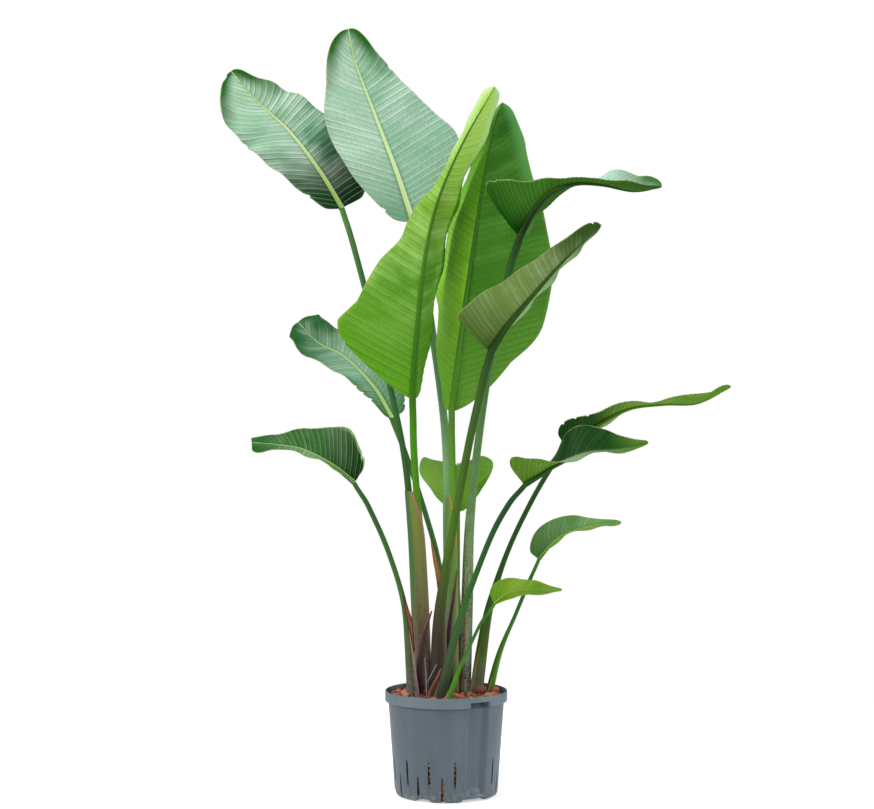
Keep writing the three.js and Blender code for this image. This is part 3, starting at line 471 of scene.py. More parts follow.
# leaf skins: waxed living leaf. left, right: colours of each half from the blade's base over its
# middle to the tip, partly the leaf's own and partly painted light and shade, lighter or darker
# where a half faces towards or away from the lamps; bloomAndSheen: wax clouds, pale partly as
# painted sheen, and their strength; lines: painted shade in each pleat's crease and a painted
# highlight beside it; fine: small veins; ripple: tucks across them, painted as light and shade;
# edge: outer band, its width in mm, strength; ribHalf: midrib's half width in mm at the base and
# tip; reach: where the three colours lie; ridgeHighlight: painted highlight on the crests of the
# pleats; hem: curled rim of the blade's base, its width in mm and how far it reaches.
skinLooks = {
    "one": {"left": ["#0c380c", "#7fa98c", "#93b99a"], "right": ["#042402", "#568a6a", "#80a983"],
            "reach": (0.21, 0.48, 0.9), "bloomAndSheen": ("#c3d9c8", 0.5), "lines": 0.95, "fine": 0.12,
            "ripple": 0.05, "ridgeHighlight": ("#8fb39c", 0.36), "rib": ("#8aa85c", "#c2d693"),
            "ribHalf": (5.0, 0.8), "edge": ("#3c6f3a", 12, 0.3), "margin": "#a39c66", "tip": "#1f5a14",
            "roughness": 0.44, "sheen": 0.05},
    "two": {"left": ["#7aa688", "#9cbca4", "#8bb094"], "right": ["#8cb49a", "#84ae94", "#6f9c7a"],
            "bloomAndSheen": ("#c3d6c8", 0.45), "lines": 0.6, "fine": 0.1, "ripple": 0.08,
            "rib": ("#cfe2a6", "#c0da9c"), "ribHalf": (5.4, 0.8), "edge": ("#7aa386", 14, 0.4),
            "margin": "#b3a578", "tip": "#1f5a12", "roughness": 0.44, "sheen": 0.05},
    "three": {"left": ["#508a18", "#4c8614", "#a6cf4c"], "right": ["#56921c", "#4c8418", "#8eb744"],
              "bloomAndSheen": ("#a6cb70", 0.45), "lines": 0.42, "fine": 0.12, "ripple": 0.05,
              "rib": ("#2f5f04", "#3f7a0c"), "ribHalf": (4.2, 0.4), "edge": ("#6aa01c", 10, 0.3),
              "margin": "#b59c6a", "tip": "#b4d68c", "roughness": 0.5, "sheen": 0.0},
    "four": {"left": ["#5f9430", "#40761c", "#33691c"], "right": ["#74b430", "#98d440", "#437f10"],
             "bloomAndSheen": ("#5c9638", 0.4), "lines": 0.36, "fine": 0.12, "ripple": 0.07,
             "rib": ("#5c8a2c", "#35660c"), "ribHalf": (3.6, 0.5), "edge": ("#5c9334", 8, 0.35),
             "margin": "#8fa352", "tip": "#5c9a50", "roughness": 0.52, "sheen": 0.0},
    "five": {"left": ["#4c7a2c", "#2f5f0c", "#3a6410"], "right": ["#124a04", "#437a24", "#42721a"],
             "reach": (0.03, 0.16, 0.9), "bloomAndSheen": ("#3c6a14", 0.45), "lines": 0.75, "fine": 0.12,
             "ripple": 0.03, "rib": ("#18310a", "#2c4f12"), "ribHalf": (3.6, 0.5),
             "edge": ("#3d6c14", 5, 0.3), "margin": "#a3b26c", "tip": "#31561a", "roughness": 0.5,
             "sheen": 0.0},
    "six": {"left": ["#86a468", "#7f9f66", "#5f8450"], "right": ["#4c6828", "#78944a", "#4c6830"],
            "bloomAndSheen": ("#a6ba80", 0.5), "lines": 0.5, "fine": 0.14, "ripple": 0.04,
            "rib": ("#1f3a0c", "#2f5018"), "ribHalf": (3.6, 0.5), "edge": ("#566f34", 6, 0.4),
            "margin": "#8f9a64", "tip": "#34501a", "roughness": 0.52, "sheen": 0.0},
    "seven": {"left": ["#4c7f4a", "#6a9678", "#285c34"], "right": ["#4f8058", "#7ca082", "#205624"],
              "bloomAndSheen": ("#9ab9a0", 0.5), "lines": 0.6, "fine": 0.12, "ripple": 0.03,
              "rib": ("#a5c276", "#9dbf86"), "ribHalf": (4.2, 0.7), "edge": ("#2a5e2c", 14, 0.6),
              "margin": "#a09a68", "tip": "#1f5a24", "roughness": 0.44, "sheen": 0.05},
    "eight": {"left": ["#3c6f2c", "#6f9a5c", "#446c30"], "right": ["#0a3006", "#3c6a34", "#3f6a30"],
              "bloomAndSheen": ("#a3b998", 0.3), "lines": 0.95, "fine": 0.1, "ripple": 0.06,
              "ridgeHighlight": ("#86a878", 0.4), "rib": ("#7ca24c", "#93b478"), "ribHalf": (3.6, 0.7),
              "edge": ("#2c5f1f", 10, 0.5), "hem": ("#8fb268", 7, 0.3), "margin": "#a9b06a",
              "tip": "#1f5a1c", "roughness": 0.34, "sheen": 0.0},
    "nine": {"left": ["#598a1c", "#659626", "#5c8c30"], "right": ["#5c8a28", "#74a03c", "#6c9440"],
             "bloomAndSheen": ("#7aa63c", 0.3), "lines": 0.3, "fine": 0.1, "ripple": 0.02,
             "rib": ("#4d7a1c", "#5c8a24"), "ribHalf": (2.6, 0.5), "edge": ("#4a7a1a", 6, 0.3),
             "margin": "#7f9a3c", "tip": "#5c8a24", "roughness": 0.5, "sheen": 0.0},
    "ten": {"left": ["#5c7c30", "#a4b078", "#5c8a1c"], "right": ["#083a00", "#5f8a20", "#528612"],
            "reach": (0.2, 0.4, 0.9), "bloomAndSheen": ("#b7bd90", 0.1), "lines": 0.6, "fine": 0.12,
            "ripple": 0.05, "rib": ("#1f440a", "#4c7a18"), "ribHalf": (3.0, 0.5),
            "edge": ("#2f6008", 5, 0.3), "margin": "#8f9c5c", "tip": "#528010", "roughness": 0.48,
            "sheen": 0.0},
    "tenUpper": {"left": ["#123f04", "#4c841c", "#5f9418"], "right": ["#0c4200", "#4c841c", "#5f9418"],
                 "reach": (0.2, 0.4, 0.9), "bloomAndSheen": ("#8fb45c", 0.08), "lines": 0.8, "fine": 0.12,
                 "ripple": 0.05, "rib": ("#6c9a38", "#7cac3c"), "ribHalf": (2.6, 0.5),
                 "edge": ("#2f6008", 5, 0.3), "margin": "#8f9c5c", "tip": "#528010", "roughness": 0.46,
                 "sheen": 0.0},
    "elevenUpper": {"left": ["#1c4d14", "#063002", "#0f4208"],
                    "right": ["#7d9a6c", "#8ba680", "#44721a"], "bloomAndSheen": ("#4f7a48", 0.15),
                    "lines": 0.6, "fine": 0.1, "ripple": 0.03, "rib": ("#1a4410", "#255018"),
                    "ribHalf": (1.6, 0.4), "edge": ("#1f4d12", 4, 0.3), "margin": "#8f9a5c",
                    "tip": "#44701c", "roughness": 0.46, "sheen": 0.0},
    "elevenUnder": {"left": ["#50791c", "#568020", "#4c7a1c"],
                    "right": ["#527c1c", "#588224", "#4c7a1c"], "bloomAndSheen": ("#7a9f3c", 0.35),
                    "lines": 0.45, "fine": 0.12, "ripple": 0.05, "rib": ("#336014", "#44701c"),
                    "ribHalf": (2.4, 0.5), "edge": ("#44701a", 5, 0.3), "margin": "#7f9a4c",
                    "tip": "#4c7a1c", "roughness": 0.5, "sheen": 0.0},
    "twelve": {"left": ["#3f6a2c", "#5f8850", "#5c863f"], "right": ["#4c7a24", "#6f9424", "#6c9434"],
               "bloomAndSheen": ("#93b080", 0.35), "lines": 0.4, "fine": 0.1, "ripple": 0.02,
               "rib": ("#8cb058", "#8cae5c"), "ribHalf": (1.6, 0.4), "edge": ("#4c7a3c", 4, 0.3),
               "margin": "#7fa04c", "tip": "#5c8c3c", "roughness": 0.44, "sheen": 0.0},
    "thirteen": {"left": ["#528010", "#628a18", "#5a8418"], "right": ["#4f7a0c", "#5c8414", "#58821c"],
                 "bloomAndSheen": ("#93ae48", 0.4), "lines": 0.4, "fine": 0.1, "ripple": 0.02,
                 "rib": ("#93b24c", "#84a63c"), "ribHalf": (1.3, 0.4), "edge": ("#4c780c", 4, 0.3),
                 "margin": "#93a84a", "tip": "#5c8820", "roughness": 0.46, "sheen": 0.0},
    "paleUnder": {"left": ["#5c8a30", "#6f9a40", "#64903c"], "right": ["#5c8a30", "#6f9a40", "#64903c"],
                  "bloomAndSheen": ("#8db068", 0.4), "lines": 0.5, "fine": 0.12, "ripple": 0.05,
                  "rib": ("#4f8024", "#5f8f34"), "ribHalf": (3.0, 0.6), "edge": ("#52802a", 8, 0.3),
                  "margin": "#9aa05c", "tip": "#4c7c2c", "roughness": 0.5, "sheen": 0.0},
    "blueUpper": {"left": ["#5f8f72", "#94b9a4", "#a0c2b0"], "right": ["#5f8f72", "#94b9a4", "#a0c2b0"],
                  "bloomAndSheen": ("#b4cdbc", 0.45), "lines": 0.6, "fine": 0.12, "ripple": 0.06,
                  "rib": ("#b5cc88", "#b9d098"), "ribHalf": (4.2, 0.7), "edge": ("#6a9878", 10, 0.3),
                  "margin": "#a8a06a", "tip": "#3a6f34", "roughness": 0.44, "sheen": 0.05},
    "greenUpper": {"left": ["#447420", "#55852c", "#558534"],
                   "right": ["#447420", "#55852c", "#558534"], "bloomAndSheen": ("#7fa35c", 0.4), "lines": 0.6,
                   "fine": 0.12, "ripple": 0.05, "rib": ("#93b460", "#9cba6c"), "ribHalf": (3.2, 0.6),
                   "edge": ("#447428", 8, 0.3), "margin": "#9aa05a", "tip": "#447428",
                   "roughness": 0.44, "sheen": 0.0},
}


def leafSkin(name, look):
    # living leaf under a coat of wax: a broad soft gloss, cloudy where the wax is thick; the pale clouds are
    # partly painted sheen
    material, tree = newMaterial(name)
    veins = addNode(tree, "ShaderNodeUVMap", {"uv_map": "veinMap"})
    place = addNode(tree, "ShaderNodeUVMap", {"uv_map": "placeMap"})
    spot = addNode(tree, "ShaderNodeTexCoord")
    veinParts = addNode(tree, "ShaderNodeSeparateXYZ", links={0: veins.outputs[0]})
    placeParts = addNode(tree, "ShaderNodeSeparateXYZ", links={0: place.outputs[0]})
    phase, across = veinParts.outputs[0], veinParts.outputs[1]
    along, margin = placeParts.outputs[0], placeParts.outputs[1]
    # each half has its colours from the base to the tip: partly the leaf's own, partly painted light
    # and shade where the half faces towards or away from the lamps
    reach = look.get("reach", (0.03, 0.4, 0.9))
    tones = [addNode(tree, "ShaderNodeValToRGB", {"stops": list(zip(reach, look[half]))}, {0: along})
             for half in ("left", "right")]
    halves = addNode(tree, "ShaderNodeMapRange", {"From Min": -0.003, "From Max": 0.003}, {0: across})
    body = addNode(tree, "ShaderNodeMix", {"data_type": "RGBA"},
                   {0: halves.outputs[0], 6: tones[0].outputs[0], 7: tones[1].outputs[0]})
    # outer band
    edgeTone, edgeWide, edgeStrength = look["edge"]
    bandShare = addNode(tree, "ShaderNodeMapRange",
                        {"interpolation_type": "SMOOTHSTEP", "From Min": edgeWide * mm, "From Max": 0.0,
                         "To Max": edgeStrength}, {0: margin})
    banded = addNode(tree, "ShaderNodeMix", {"data_type": "RGBA", 7: edgeTone},
                     {0: bandShare.outputs[0], 6: body.outputs[2]})
    if "hem" in look:
        # curled rim of the blade's base, which shows its other face
        hemTone, hemWide, hemReach = look["hem"]
        hemSide = addNode(tree, "ShaderNodeMapRange",
                          {"From Min": hemWide * mm, "From Max": hemWide * 0.6 * mm}, {0: margin})
        hemEnd = addNode(tree, "ShaderNodeMapRange",
                         {"From Min": hemReach, "From Max": hemReach * 0.7}, {0: along})
        hemShare = addNode(tree, "ShaderNodeMath", {"operation": "MULTIPLY"},
                           {0: hemSide.outputs[0], 1: hemEnd.outputs[0]})
        banded = addNode(tree, "ShaderNodeMix", {"data_type": "RGBA", 7: hemTone},
                         {0: hemShare.outputs[0], 6: banded.outputs[2]})
    # wax clouds, pale partly as painted sheen: about 60 mm wide with streaks that follow the veins
    clouds = addNode(tree, "ShaderNodeTexNoise", {"Scale": 16.0, "Detail": 2.0, "Roughness": 0.5},
                     {"Vector": spot.outputs["Object"]})
    streakPlace = addNode(tree, "ShaderNodeVectorMath", {"operation": "MULTIPLY", 1: (0.42, 7.0, 0.0)},
                          {0: veins.outputs[0]})
    streaks = addNode(tree, "ShaderNodeTexNoise",
                      {"noise_dimensions": "2D", "Scale": 1.0, "Detail": 2.0, "Roughness": 0.5},
                      {"Vector": streakPlace.outputs[0]})
    bloomSheenBase = addNode(tree, "ShaderNodeMath", {"operation": "ADD"},
                        {0: clouds.outputs[0], 1: streaks.outputs[0]})
    bloomSheenTone, bloomSheenStrength = look["bloomAndSheen"]
    bloomSheenFull = addNode(tree, "ShaderNodeMapRange",
                        {"From Min": 0.82, "From Max": 1.25, "To Max": bloomSheenStrength},
                        {0: bloomSheenBase.outputs[0]})
    # neither wax clouds nor painted sheen at the blade's base
    bloomSheenStart = addNode(tree, "ShaderNodeMapRange", {"From Min": 0.06, "From Max": 0.4}, {0: along})
    bloomSheenShare = addNode(tree, "ShaderNodeMath", {"operation": "MULTIPLY"},
                         {0: bloomSheenFull.outputs[0], 1: bloomSheenStart.outputs[0]})
    bloomSheened = addNode(tree, "ShaderNodeMix", {"data_type": "RGBA", 7: bloomSheenTone},
                      {0: bloomSheenShare.outputs[0], 6: banded.outputs[2]})
    # painted shade and highlight at each pleat: a dark line in its crease and a light one beside it, stronger
    # in some places
    part = addNode(tree, "ShaderNodeMath", {"operation": "FRACT"}, {0: phase})
    line = addNode(tree, "ShaderNodeValToRGB",
                   {"stops": [(0.0, 0.5), (0.26, 0.46), (0.44, 0.1), (0.56, 0.86), (0.72, 0.55), (1.0, 0.5)]},
                   {0: part.outputs[0]})
    lineShare = addNode(tree, "ShaderNodeMapRange",
                        {"From Min": 0.34, "From Max": 0.62, "To Min": look["lines"] * 0.4,
                         "To Max": look["lines"]}, {0: streaks.outputs[0]})
    lined = addNode(tree, "ShaderNodeMix", {"data_type": "RGBA", "blend_type": "OVERLAY"},
                    {0: lineShare.outputs[0], 6: bloomSheened.outputs[2], 7: line.outputs[0]})
    if "ridgeHighlight" in look:
        # painted highlight on the crests of the pleats, which dark blades show
        ridgeHighlightTone, ridgeHighlightStrength = look["ridgeHighlight"]
        ridgeHighlightShare = addNode(tree, "ShaderNodeMapRange",
                             {"From Min": 0.6, "From Max": 0.86, "To Max": ridgeHighlightStrength},
                             {0: line.outputs[0]})
        lined = addNode(tree, "ShaderNodeMix", {"data_type": "RGBA", 7: ridgeHighlightTone},
                        {0: ridgeHighlightShare.outputs[0], 6: lined.outputs[2]})
    # small veins, three to a pleat: about 4 mm apart, coarser than the real 1 mm, so they show
    fineWave = addNode(tree, "ShaderNodeMath", {"operation": "MULTIPLY", 1: 6 * math.pi}, {0: phase})
    fine = addNode(tree, "ShaderNodeMath", {"operation": "SINE"}, {0: fineWave.outputs[0]})
    # tucks across the veins, 5 mm apart and broken, painted as light and shade; the bump below gives them
    # relief too
    tuckPlace = addNode(tree, "ShaderNodeVectorMath", {"operation": "MULTIPLY", 1: (1.6, 210.0, 0.0)},
                        {0: veins.outputs[0]})
    tucks = addNode(tree, "ShaderNodeTexNoise", {"noise_dimensions": "2D", "Scale": 1.0, "Detail": 1.0},
                    {"Vector": tuckPlace.outputs[0]})
    tuckTone = addNode(tree, "ShaderNodeMapRange",
                       {"From Min": 0.3, "From Max": 0.7, "To Min": 0.5 - look["ripple"] * 0.5,
                        "To Max": 0.5 + look["ripple"] * 0.5}, {0: tucks.outputs[0]})
    fineTone = addNode(tree, "ShaderNodeMath", {"operation": "MULTIPLY_ADD", 1: look["fine"] * 0.25},
                       {0: fine.outputs[0], 2: tuckTone.outputs[0]})
    veined = addNode(tree, "ShaderNodeMix", {"data_type": "RGBA", "blend_type": "OVERLAY", 0: 1.0},
                     {6: lined.outputs[2], 7: fineTone.outputs[0]})
    # tip: its own colour within 34 mm of the margin, on the last third of the blade
    nearTip = addNode(tree, "ShaderNodeMapRange", {"From Min": 0.66, "From Max": 0.9}, {0: along})
    nearEdge = addNode(tree, "ShaderNodeMapRange",
                       {"interpolation_type": "SMOOTHSTEP", "From Min": 0.034, "From Max": 0.005},
                       {0: margin})
    tipShare = addNode(tree, "ShaderNodeMath", {"operation": "MULTIPLY"},
                       {0: nearTip.outputs[0], 1: nearEdge.outputs[0]})
    tipped = addNode(tree, "ShaderNodeMix", {"data_type": "RGBA", 7: look["tip"]},
                     {0: tipShare.outputs[0], 6: veined.outputs[2]})
    # midrib, tapering from the base, with a soft shadow at its feet
    ribBase, ribTip = look["ribHalf"]
    ribWidth = addNode(tree, "ShaderNodeMapRange", {"To Min": ribBase * mm, "To Max": ribTip * mm},
                       {0: along})
    fromRib = addNode(tree, "ShaderNodeMath", {"operation": "ABSOLUTE"}, {0: across})
    ribEdge = addNode(tree, "ShaderNodeMath", {"operation": "DIVIDE"},
                      {0: fromRib.outputs[0], 1: ribWidth.outputs[0]})
    footShade = addNode(tree, "ShaderNodeMapRange",
                        {"interpolation_type": "SMOOTHSTEP", "From Min": 2.6, "From Max": 1.0,
                         "To Max": 0.45},
                        {0: ribEdge.outputs[0]})
    shaded = addNode(tree, "ShaderNodeMix", {"data_type": "RGBA", "blend_type": "MULTIPLY", 7: "#7c9a70"},
                     {0: footShade.outputs[0], 6: tipped.outputs[2]})
    ribShare = addNode(tree, "ShaderNodeMapRange",
                       {"interpolation_type": "SMOOTHSTEP", "From Min": 1.1, "From Max": 0.8},
                       {0: ribEdge.outputs[0]})
    ribTone = addNode(tree, "ShaderNodeValToRGB", {"stops": [(0.05, look["rib"][0]), (0.5, look["rib"][1])]},
                      {0: along})
    ribbed = addNode(tree, "ShaderNodeMix", {"data_type": "RGBA"},
                     {0: ribShare.outputs[0], 6: shaded.outputs[2], 7: ribTone.outputs[0]})
    # corky margin, 0.4 to 1.8 mm wide and broken
    edgeNoise = addNode(tree, "ShaderNodeTexNoise", {"Scale": 60.0, "Detail": 1.0},
                        {"Vector": spot.outputs["Object"]})
    edgeWidth = addNode(tree, "ShaderNodeMapRange", {"From Min": 0.35, "From Max": 0.7, "To Min": 0.0004,
                                                     "To Max": 0.0018}, {0: edgeNoise.outputs[0]})
    edgeShare = addNode(tree, "ShaderNodeMath", {"operation": "LESS_THAN"},
                        {0: margin, 1: edgeWidth.outputs[0]})
    edgePart = addNode(tree, "ShaderNodeMath", {"operation": "MULTIPLY", 1: 0.6}, {0: edgeShare.outputs[0]})
    coloured = addNode(tree, "ShaderNodeMix", {"data_type": "RGBA", 7: look["margin"]},
                       {0: edgePart.outputs[0], 6: ribbed.outputs[2]})
    gloss = addNode(tree, "ShaderNodeMapRange", {"To Min": look["roughness"] - 0.06,
                                                 "To Max": look["roughness"] + 0.1},
                    {0: clouds.outputs[0]})
    # relief of the small veins and tucks, 0.3 mm
    bump = addNode(tree, "ShaderNodeBump", {"Strength": 0.5, "Distance": 0.0006},
                   {"Height": fineTone.outputs[0]})
    skin = addNode(tree, "ShaderNodeBsdfPrincipled",
                   {"IOR": 1.4, "Specular IOR Level": 0.11, "Sheen Weight": look["sheen"]},
                   {"Base Color": coloured.outputs[2], "Roughness": gloss.outputs[0],
                    "Normal": bump.outputs[0]})
    addNode(tree, "ShaderNodeOutputMaterial", links={0: skin.outputs[0]})
    return material


leafSkins = {key: leafSkin("waxedLeaf_" + key, look) for key, look in skinLooks.items()}
print("leaf skins made")

# stalk skins: waxy petiole. colours of the foot, the low, middle and high stalk, then of the rib
# at its base and further on; speck is how strong the dark dots on the lower half are.
stalkLooks = {
    "oneStalk": {"stops": ["#6a6058", "#4a6230", "#2c5524", "#3f6a38", "#4c7a34", "#5f8a3c"],
                 "speck": 0.15},
    "twoStalk": {"stops": ["#5a5f46", "#547c4e", "#6f9a6a", "#4a7440", "#335f24", "#7ca04c"],
                 "speck": 0.3},
    "threeStalk": {"stops": ["#6a6a3c", "#4f7a1c", "#42780f", "#42800c", "#2f6004", "#3a700c"],
                   "speck": 0.05},
    "fourStalk": {"stops": ["#7a7a52", "#5f8a30", "#548020", "#5a8a28", "#4f8220", "#35660c"],
                  "speck": 0.05},
    "fiveStalk": {"stops": ["#b5b8aa", "#7c8a68", "#5c7f4c", "#34602e", "#142c08", "#2a4c10"],
                  "speck": 0.9},
    "sixStalk": {"stops": ["#352830", "#382e24", "#44641c", "#365420", "#22400c", "#2c4c14"],
                 "speck": 0.8},
    "sevenStalk": {"stops": ["#6a6a48", "#5c8044", "#3f6a38", "#2f5c2a", "#447034", "#6c9448"],
                   "speck": 0.1},
    "eightStalk": {"stops": ["#7a6e74", "#48503a", "#3c6028", "#2c5828", "#3f6a30", "#6a8f4c"],
                   "speck": 0.7},
    "nineStalk": {"stops": ["#5a5a38", "#4f7c34", "#4f7c30", "#55822f", "#55822c", "#5c8a30"],
                  "speck": 0.05},
    "tenStalk": {"stops": ["#6a6660", "#3c5014", "#254a12", "#1f4414", "#1f440a", "#4c7a18"],
                 "speck": 0.4},
    "elevenStalk": {"stops": ["#2c302c", "#38482e", "#2c5a24", "#1c4424", "#1c4418", "#336014"],
                    "speck": 0.4},
    "youngStalk": {"stops": ["#5a6a34", "#4a7a1c", "#35681c", "#245a18", "#4c7a20", "#7ca04c"],
                   "speck": 0.05},
}


def stalkSkin(name, look):
    # living petiole: smooth wax over lengthwise fibres, so a soft streaked gloss
    material, tree = newMaterial(name)
    wrap = addNode(tree, "ShaderNodeUVMap", {"uv_map": "veinMap"})
    place = addNode(tree, "ShaderNodeUVMap", {"uv_map": "placeMap"})
    placeParts = addNode(tree, "ShaderNodeSeparateXYZ", links={0: place.outputs[0]})
    body = addNode(tree, "ShaderNodeValToRGB",
                   {"stops": list(zip((0.0, 0.14, 0.32, 0.58, 0.68, 0.82), look["stops"]))},
                   {0: placeParts.outputs[0]})
    # veinMap holds the way round and the way up in metres: fibres run lengthwise, about 2 mm apart
    stretch = addNode(tree, "ShaderNodeMapping", {"Scale": (420.0, 22.0, 1.0)}, {0: wrap.outputs[0]})
    streaks = addNode(tree, "ShaderNodeTexNoise", {"noise_dimensions": "2D", "Scale": 1.0, "Detail": 3.0},
                      {"Vector": stretch.outputs[0]})
    streakShare = addNode(tree, "ShaderNodeMapRange", {"From Min": 0.35, "From Max": 0.75, "To Max": 0.5},
                          {0: streaks.outputs[0]})
    streaked = addNode(tree, "ShaderNodeMix", {"data_type": "RGBA", "blend_type": "SOFT_LIGHT",
                                               7: "#c9d6a8"},
                       {0: streakShare.outputs[0], 6: body.outputs[0]})
    # dots of 1 to 3 mm, in patches, fading upward
    dotPlace = addNode(tree, "ShaderNodeMapping", {"Scale": (300.0, 170.0, 1.0)}, {0: wrap.outputs[0]})
    dots = addNode(tree, "ShaderNodeTexVoronoi", {"voronoi_dimensions": "2D", "Scale": 1.0},
                   {"Vector": dotPlace.outputs[0]})
    dotCore = addNode(tree, "ShaderNodeMapRange", {"From Min": 0.42, "From Max": 0.2}, {0: dots.outputs[0]})
    patchPlace = addNode(tree, "ShaderNodeMapping", {"Scale": (40.0, 28.0, 1.0)}, {0: wrap.outputs[0]})
    patches = addNode(tree, "ShaderNodeTexNoise", {"noise_dimensions": "2D", "Scale": 1.0, "Detail": 2.0},
                      {"Vector": patchPlace.outputs[0]})
    patchShare = addNode(tree, "ShaderNodeMapRange", {"From Min": 0.4, "From Max": 0.56},
                         {0: patches.outputs[0]})
    lower = addNode(tree, "ShaderNodeMapRange", {"From Min": 0.45, "From Max": 0.1, "To Max": look["speck"]},
                    {0: placeParts.outputs[0]})
    dotPart = addNode(tree, "ShaderNodeMath", {"operation": "MULTIPLY"},
                      {0: dotCore.outputs[0], 1: patchShare.outputs[0]})
    dotShare = addNode(tree, "ShaderNodeMath", {"operation": "MULTIPLY"},
                       {0: dotPart.outputs[0], 1: lower.outputs[0]})
    dotted = addNode(tree, "ShaderNodeMix", {"data_type": "RGBA", 7: "#1f2a12"},
                     {0: dotShare.outputs[0], 6: streaked.outputs[2]})
    gloss = addNode(tree, "ShaderNodeMapRange", {"To Min": 0.4, "To Max": 0.56}, {0: streaks.outputs[0]})
    bump = addNode(tree, "ShaderNodeBump", {"Strength": 0.4, "Distance": 0.0004},
                   {"Height": streaks.outputs[0]})
    skin = addNode(tree, "ShaderNodeBsdfPrincipled", {"IOR": 1.4, "Specular IOR Level": 0.18},
                   {"Base Color": dotted.outputs[2], "Roughness": gloss.outputs[0],
                    "Normal": bump.outputs[0]})
    addNode(tree, "ShaderNodeOutputMaterial", links={0: skin.outputs[0]})
    return material


stalkSkins = {key: stalkSkin("waxedStalk_" + key, look) for key, look in stalkLooks.items()}

# stalks, which run on as midribs. taper: where the radius goes from foot to neck; ribShare: how far the
# rib runs along the blade; tip: radius there; groove: depth as a share of the radius, half width in
# radians; sink: share of the rib that the blade lies in; gap: left between them; neck: length over
# which the stalk dips under the blade; ribStart: where the rib's colours begin in placeMap
stalk = {"sides": 20, "stalkRings": 64, "ribRings": 60, "taper": (0.05, 0.6), "ribShare": 0.93, "tip": 0.8,
         "groove": (0.16, 0.55), "sink": 0.35, "gap": 0.25, "neck": 45, "ribStart": 0.66}


def stalkRadius(leaf, s):
    foot, neck = leaf["radius"]
    return mix(foot, neck, smooth(s, *stalk["taper"]))


def closeTube(bm):
    # joins the seam of each rolled-up grid, then closes its ends
    bmesh.ops.remove_doubles(bm, verts=bm.verts, dist=1e-6)
    ends = [e for e in bm.edges if e.is_boundary]
    if ends:
        bmesh.ops.holes_fill(bm, edges=ends, sides=0)
    bmesh.ops.recalc_face_normals(bm, faces=bm.faces)


def stalkPiece(name, leaf, look):
    # the grid is rolled up: x goes round and y goes along
    bm = gridBmesh(stalk["sides"], stalk["stalkRings"] + stalk["ribRings"])
    stalkLength = leaf["stalkCurve"]["length"]
    ribLength = leaf["ribCurve"]["length"]
    split = stalk["stalkRings"] / (stalk["stalkRings"] + stalk["ribRings"])
    start = ribFrame(leaf, 0)[1]
    neck = leaf["radius"][1]
    grooveDepth, grooveHalf = stalk["groove"]
    notes = {}
    for vert in bm.verts:
        t = (vert.co.y + 1) / 2
        turn = vert.co.x * math.pi
        if t >= split - 1e-6:
            s = max(t - split, 0.0) / (1 - split) * stalk["ribShare"]
            radius = mix(neck, stalk["tip"], (s / stalk["ribShare"]) ** 0.8)
            point, upper, right = ribFrame(leaf, s)
            run = stalkLength + s * ribLength
            share = stalk["ribStart"] + s * (1 - stalk["ribStart"])
            fromNeck = grooved = 1.0
        else:
            s = t / split
            radius = stalkRadius(leaf, s)
            forward = curveTangent(leaf["stalkCurve"], s)
            upper = (start - forward * start.dot(forward)).normalized()
            right = forward.cross(upper)
            point = curveAt(leaf["stalkCurve"], s)
            run = s * stalkLength
            share = s * stalk["ribStart"]
            fromNeck = smooth(run, stalkLength - stalk["neck"], stalkLength)
            grooved = smooth(s, 0.5, 1)
        # turn 0 is the upper side; the groove deepens towards the neck and the rib's top is flat
        groove = grooveDepth * math.exp(-(turn / grooveHalf) ** 2) * grooved
        height = radius * math.cos(turn) * (1 - groove)
        drop = fromNeck * (radius * (1 - stalk["sink"]) + blade["thick"] / 2)
        if fromNeck > 0 and height > 0:
            height = mix(height, height * (drop - stalk["gap"]) / radius, fromNeck)
        vert.co = (point + upper * (height - drop) + right * (radius * math.sin(turn))) * mm
        notes[vert] = ((turn * radius * mm, run * mm), (share, radius * mm))
    stampMaps(bm, notes)
    closeTube(bm)
    finishPiece(bm, name, [stalkSkins[look["stalk"]]], leaf["node"] + "_stalk")


def centreAt(leaf, level):
    # the stalk's centre at a height, and its radius there
    levels = leaf["levels"]
    for i in range(1, len(levels)):
        if levels[i].z >= level:
            below, above = levels[i - 1], levels[i]
            part = (level - below.z) / (above.z - below.z)
            return below.lerp(above, part), stalkRadius(leaf, (i - 1 + part) / 100)
    return None, 0


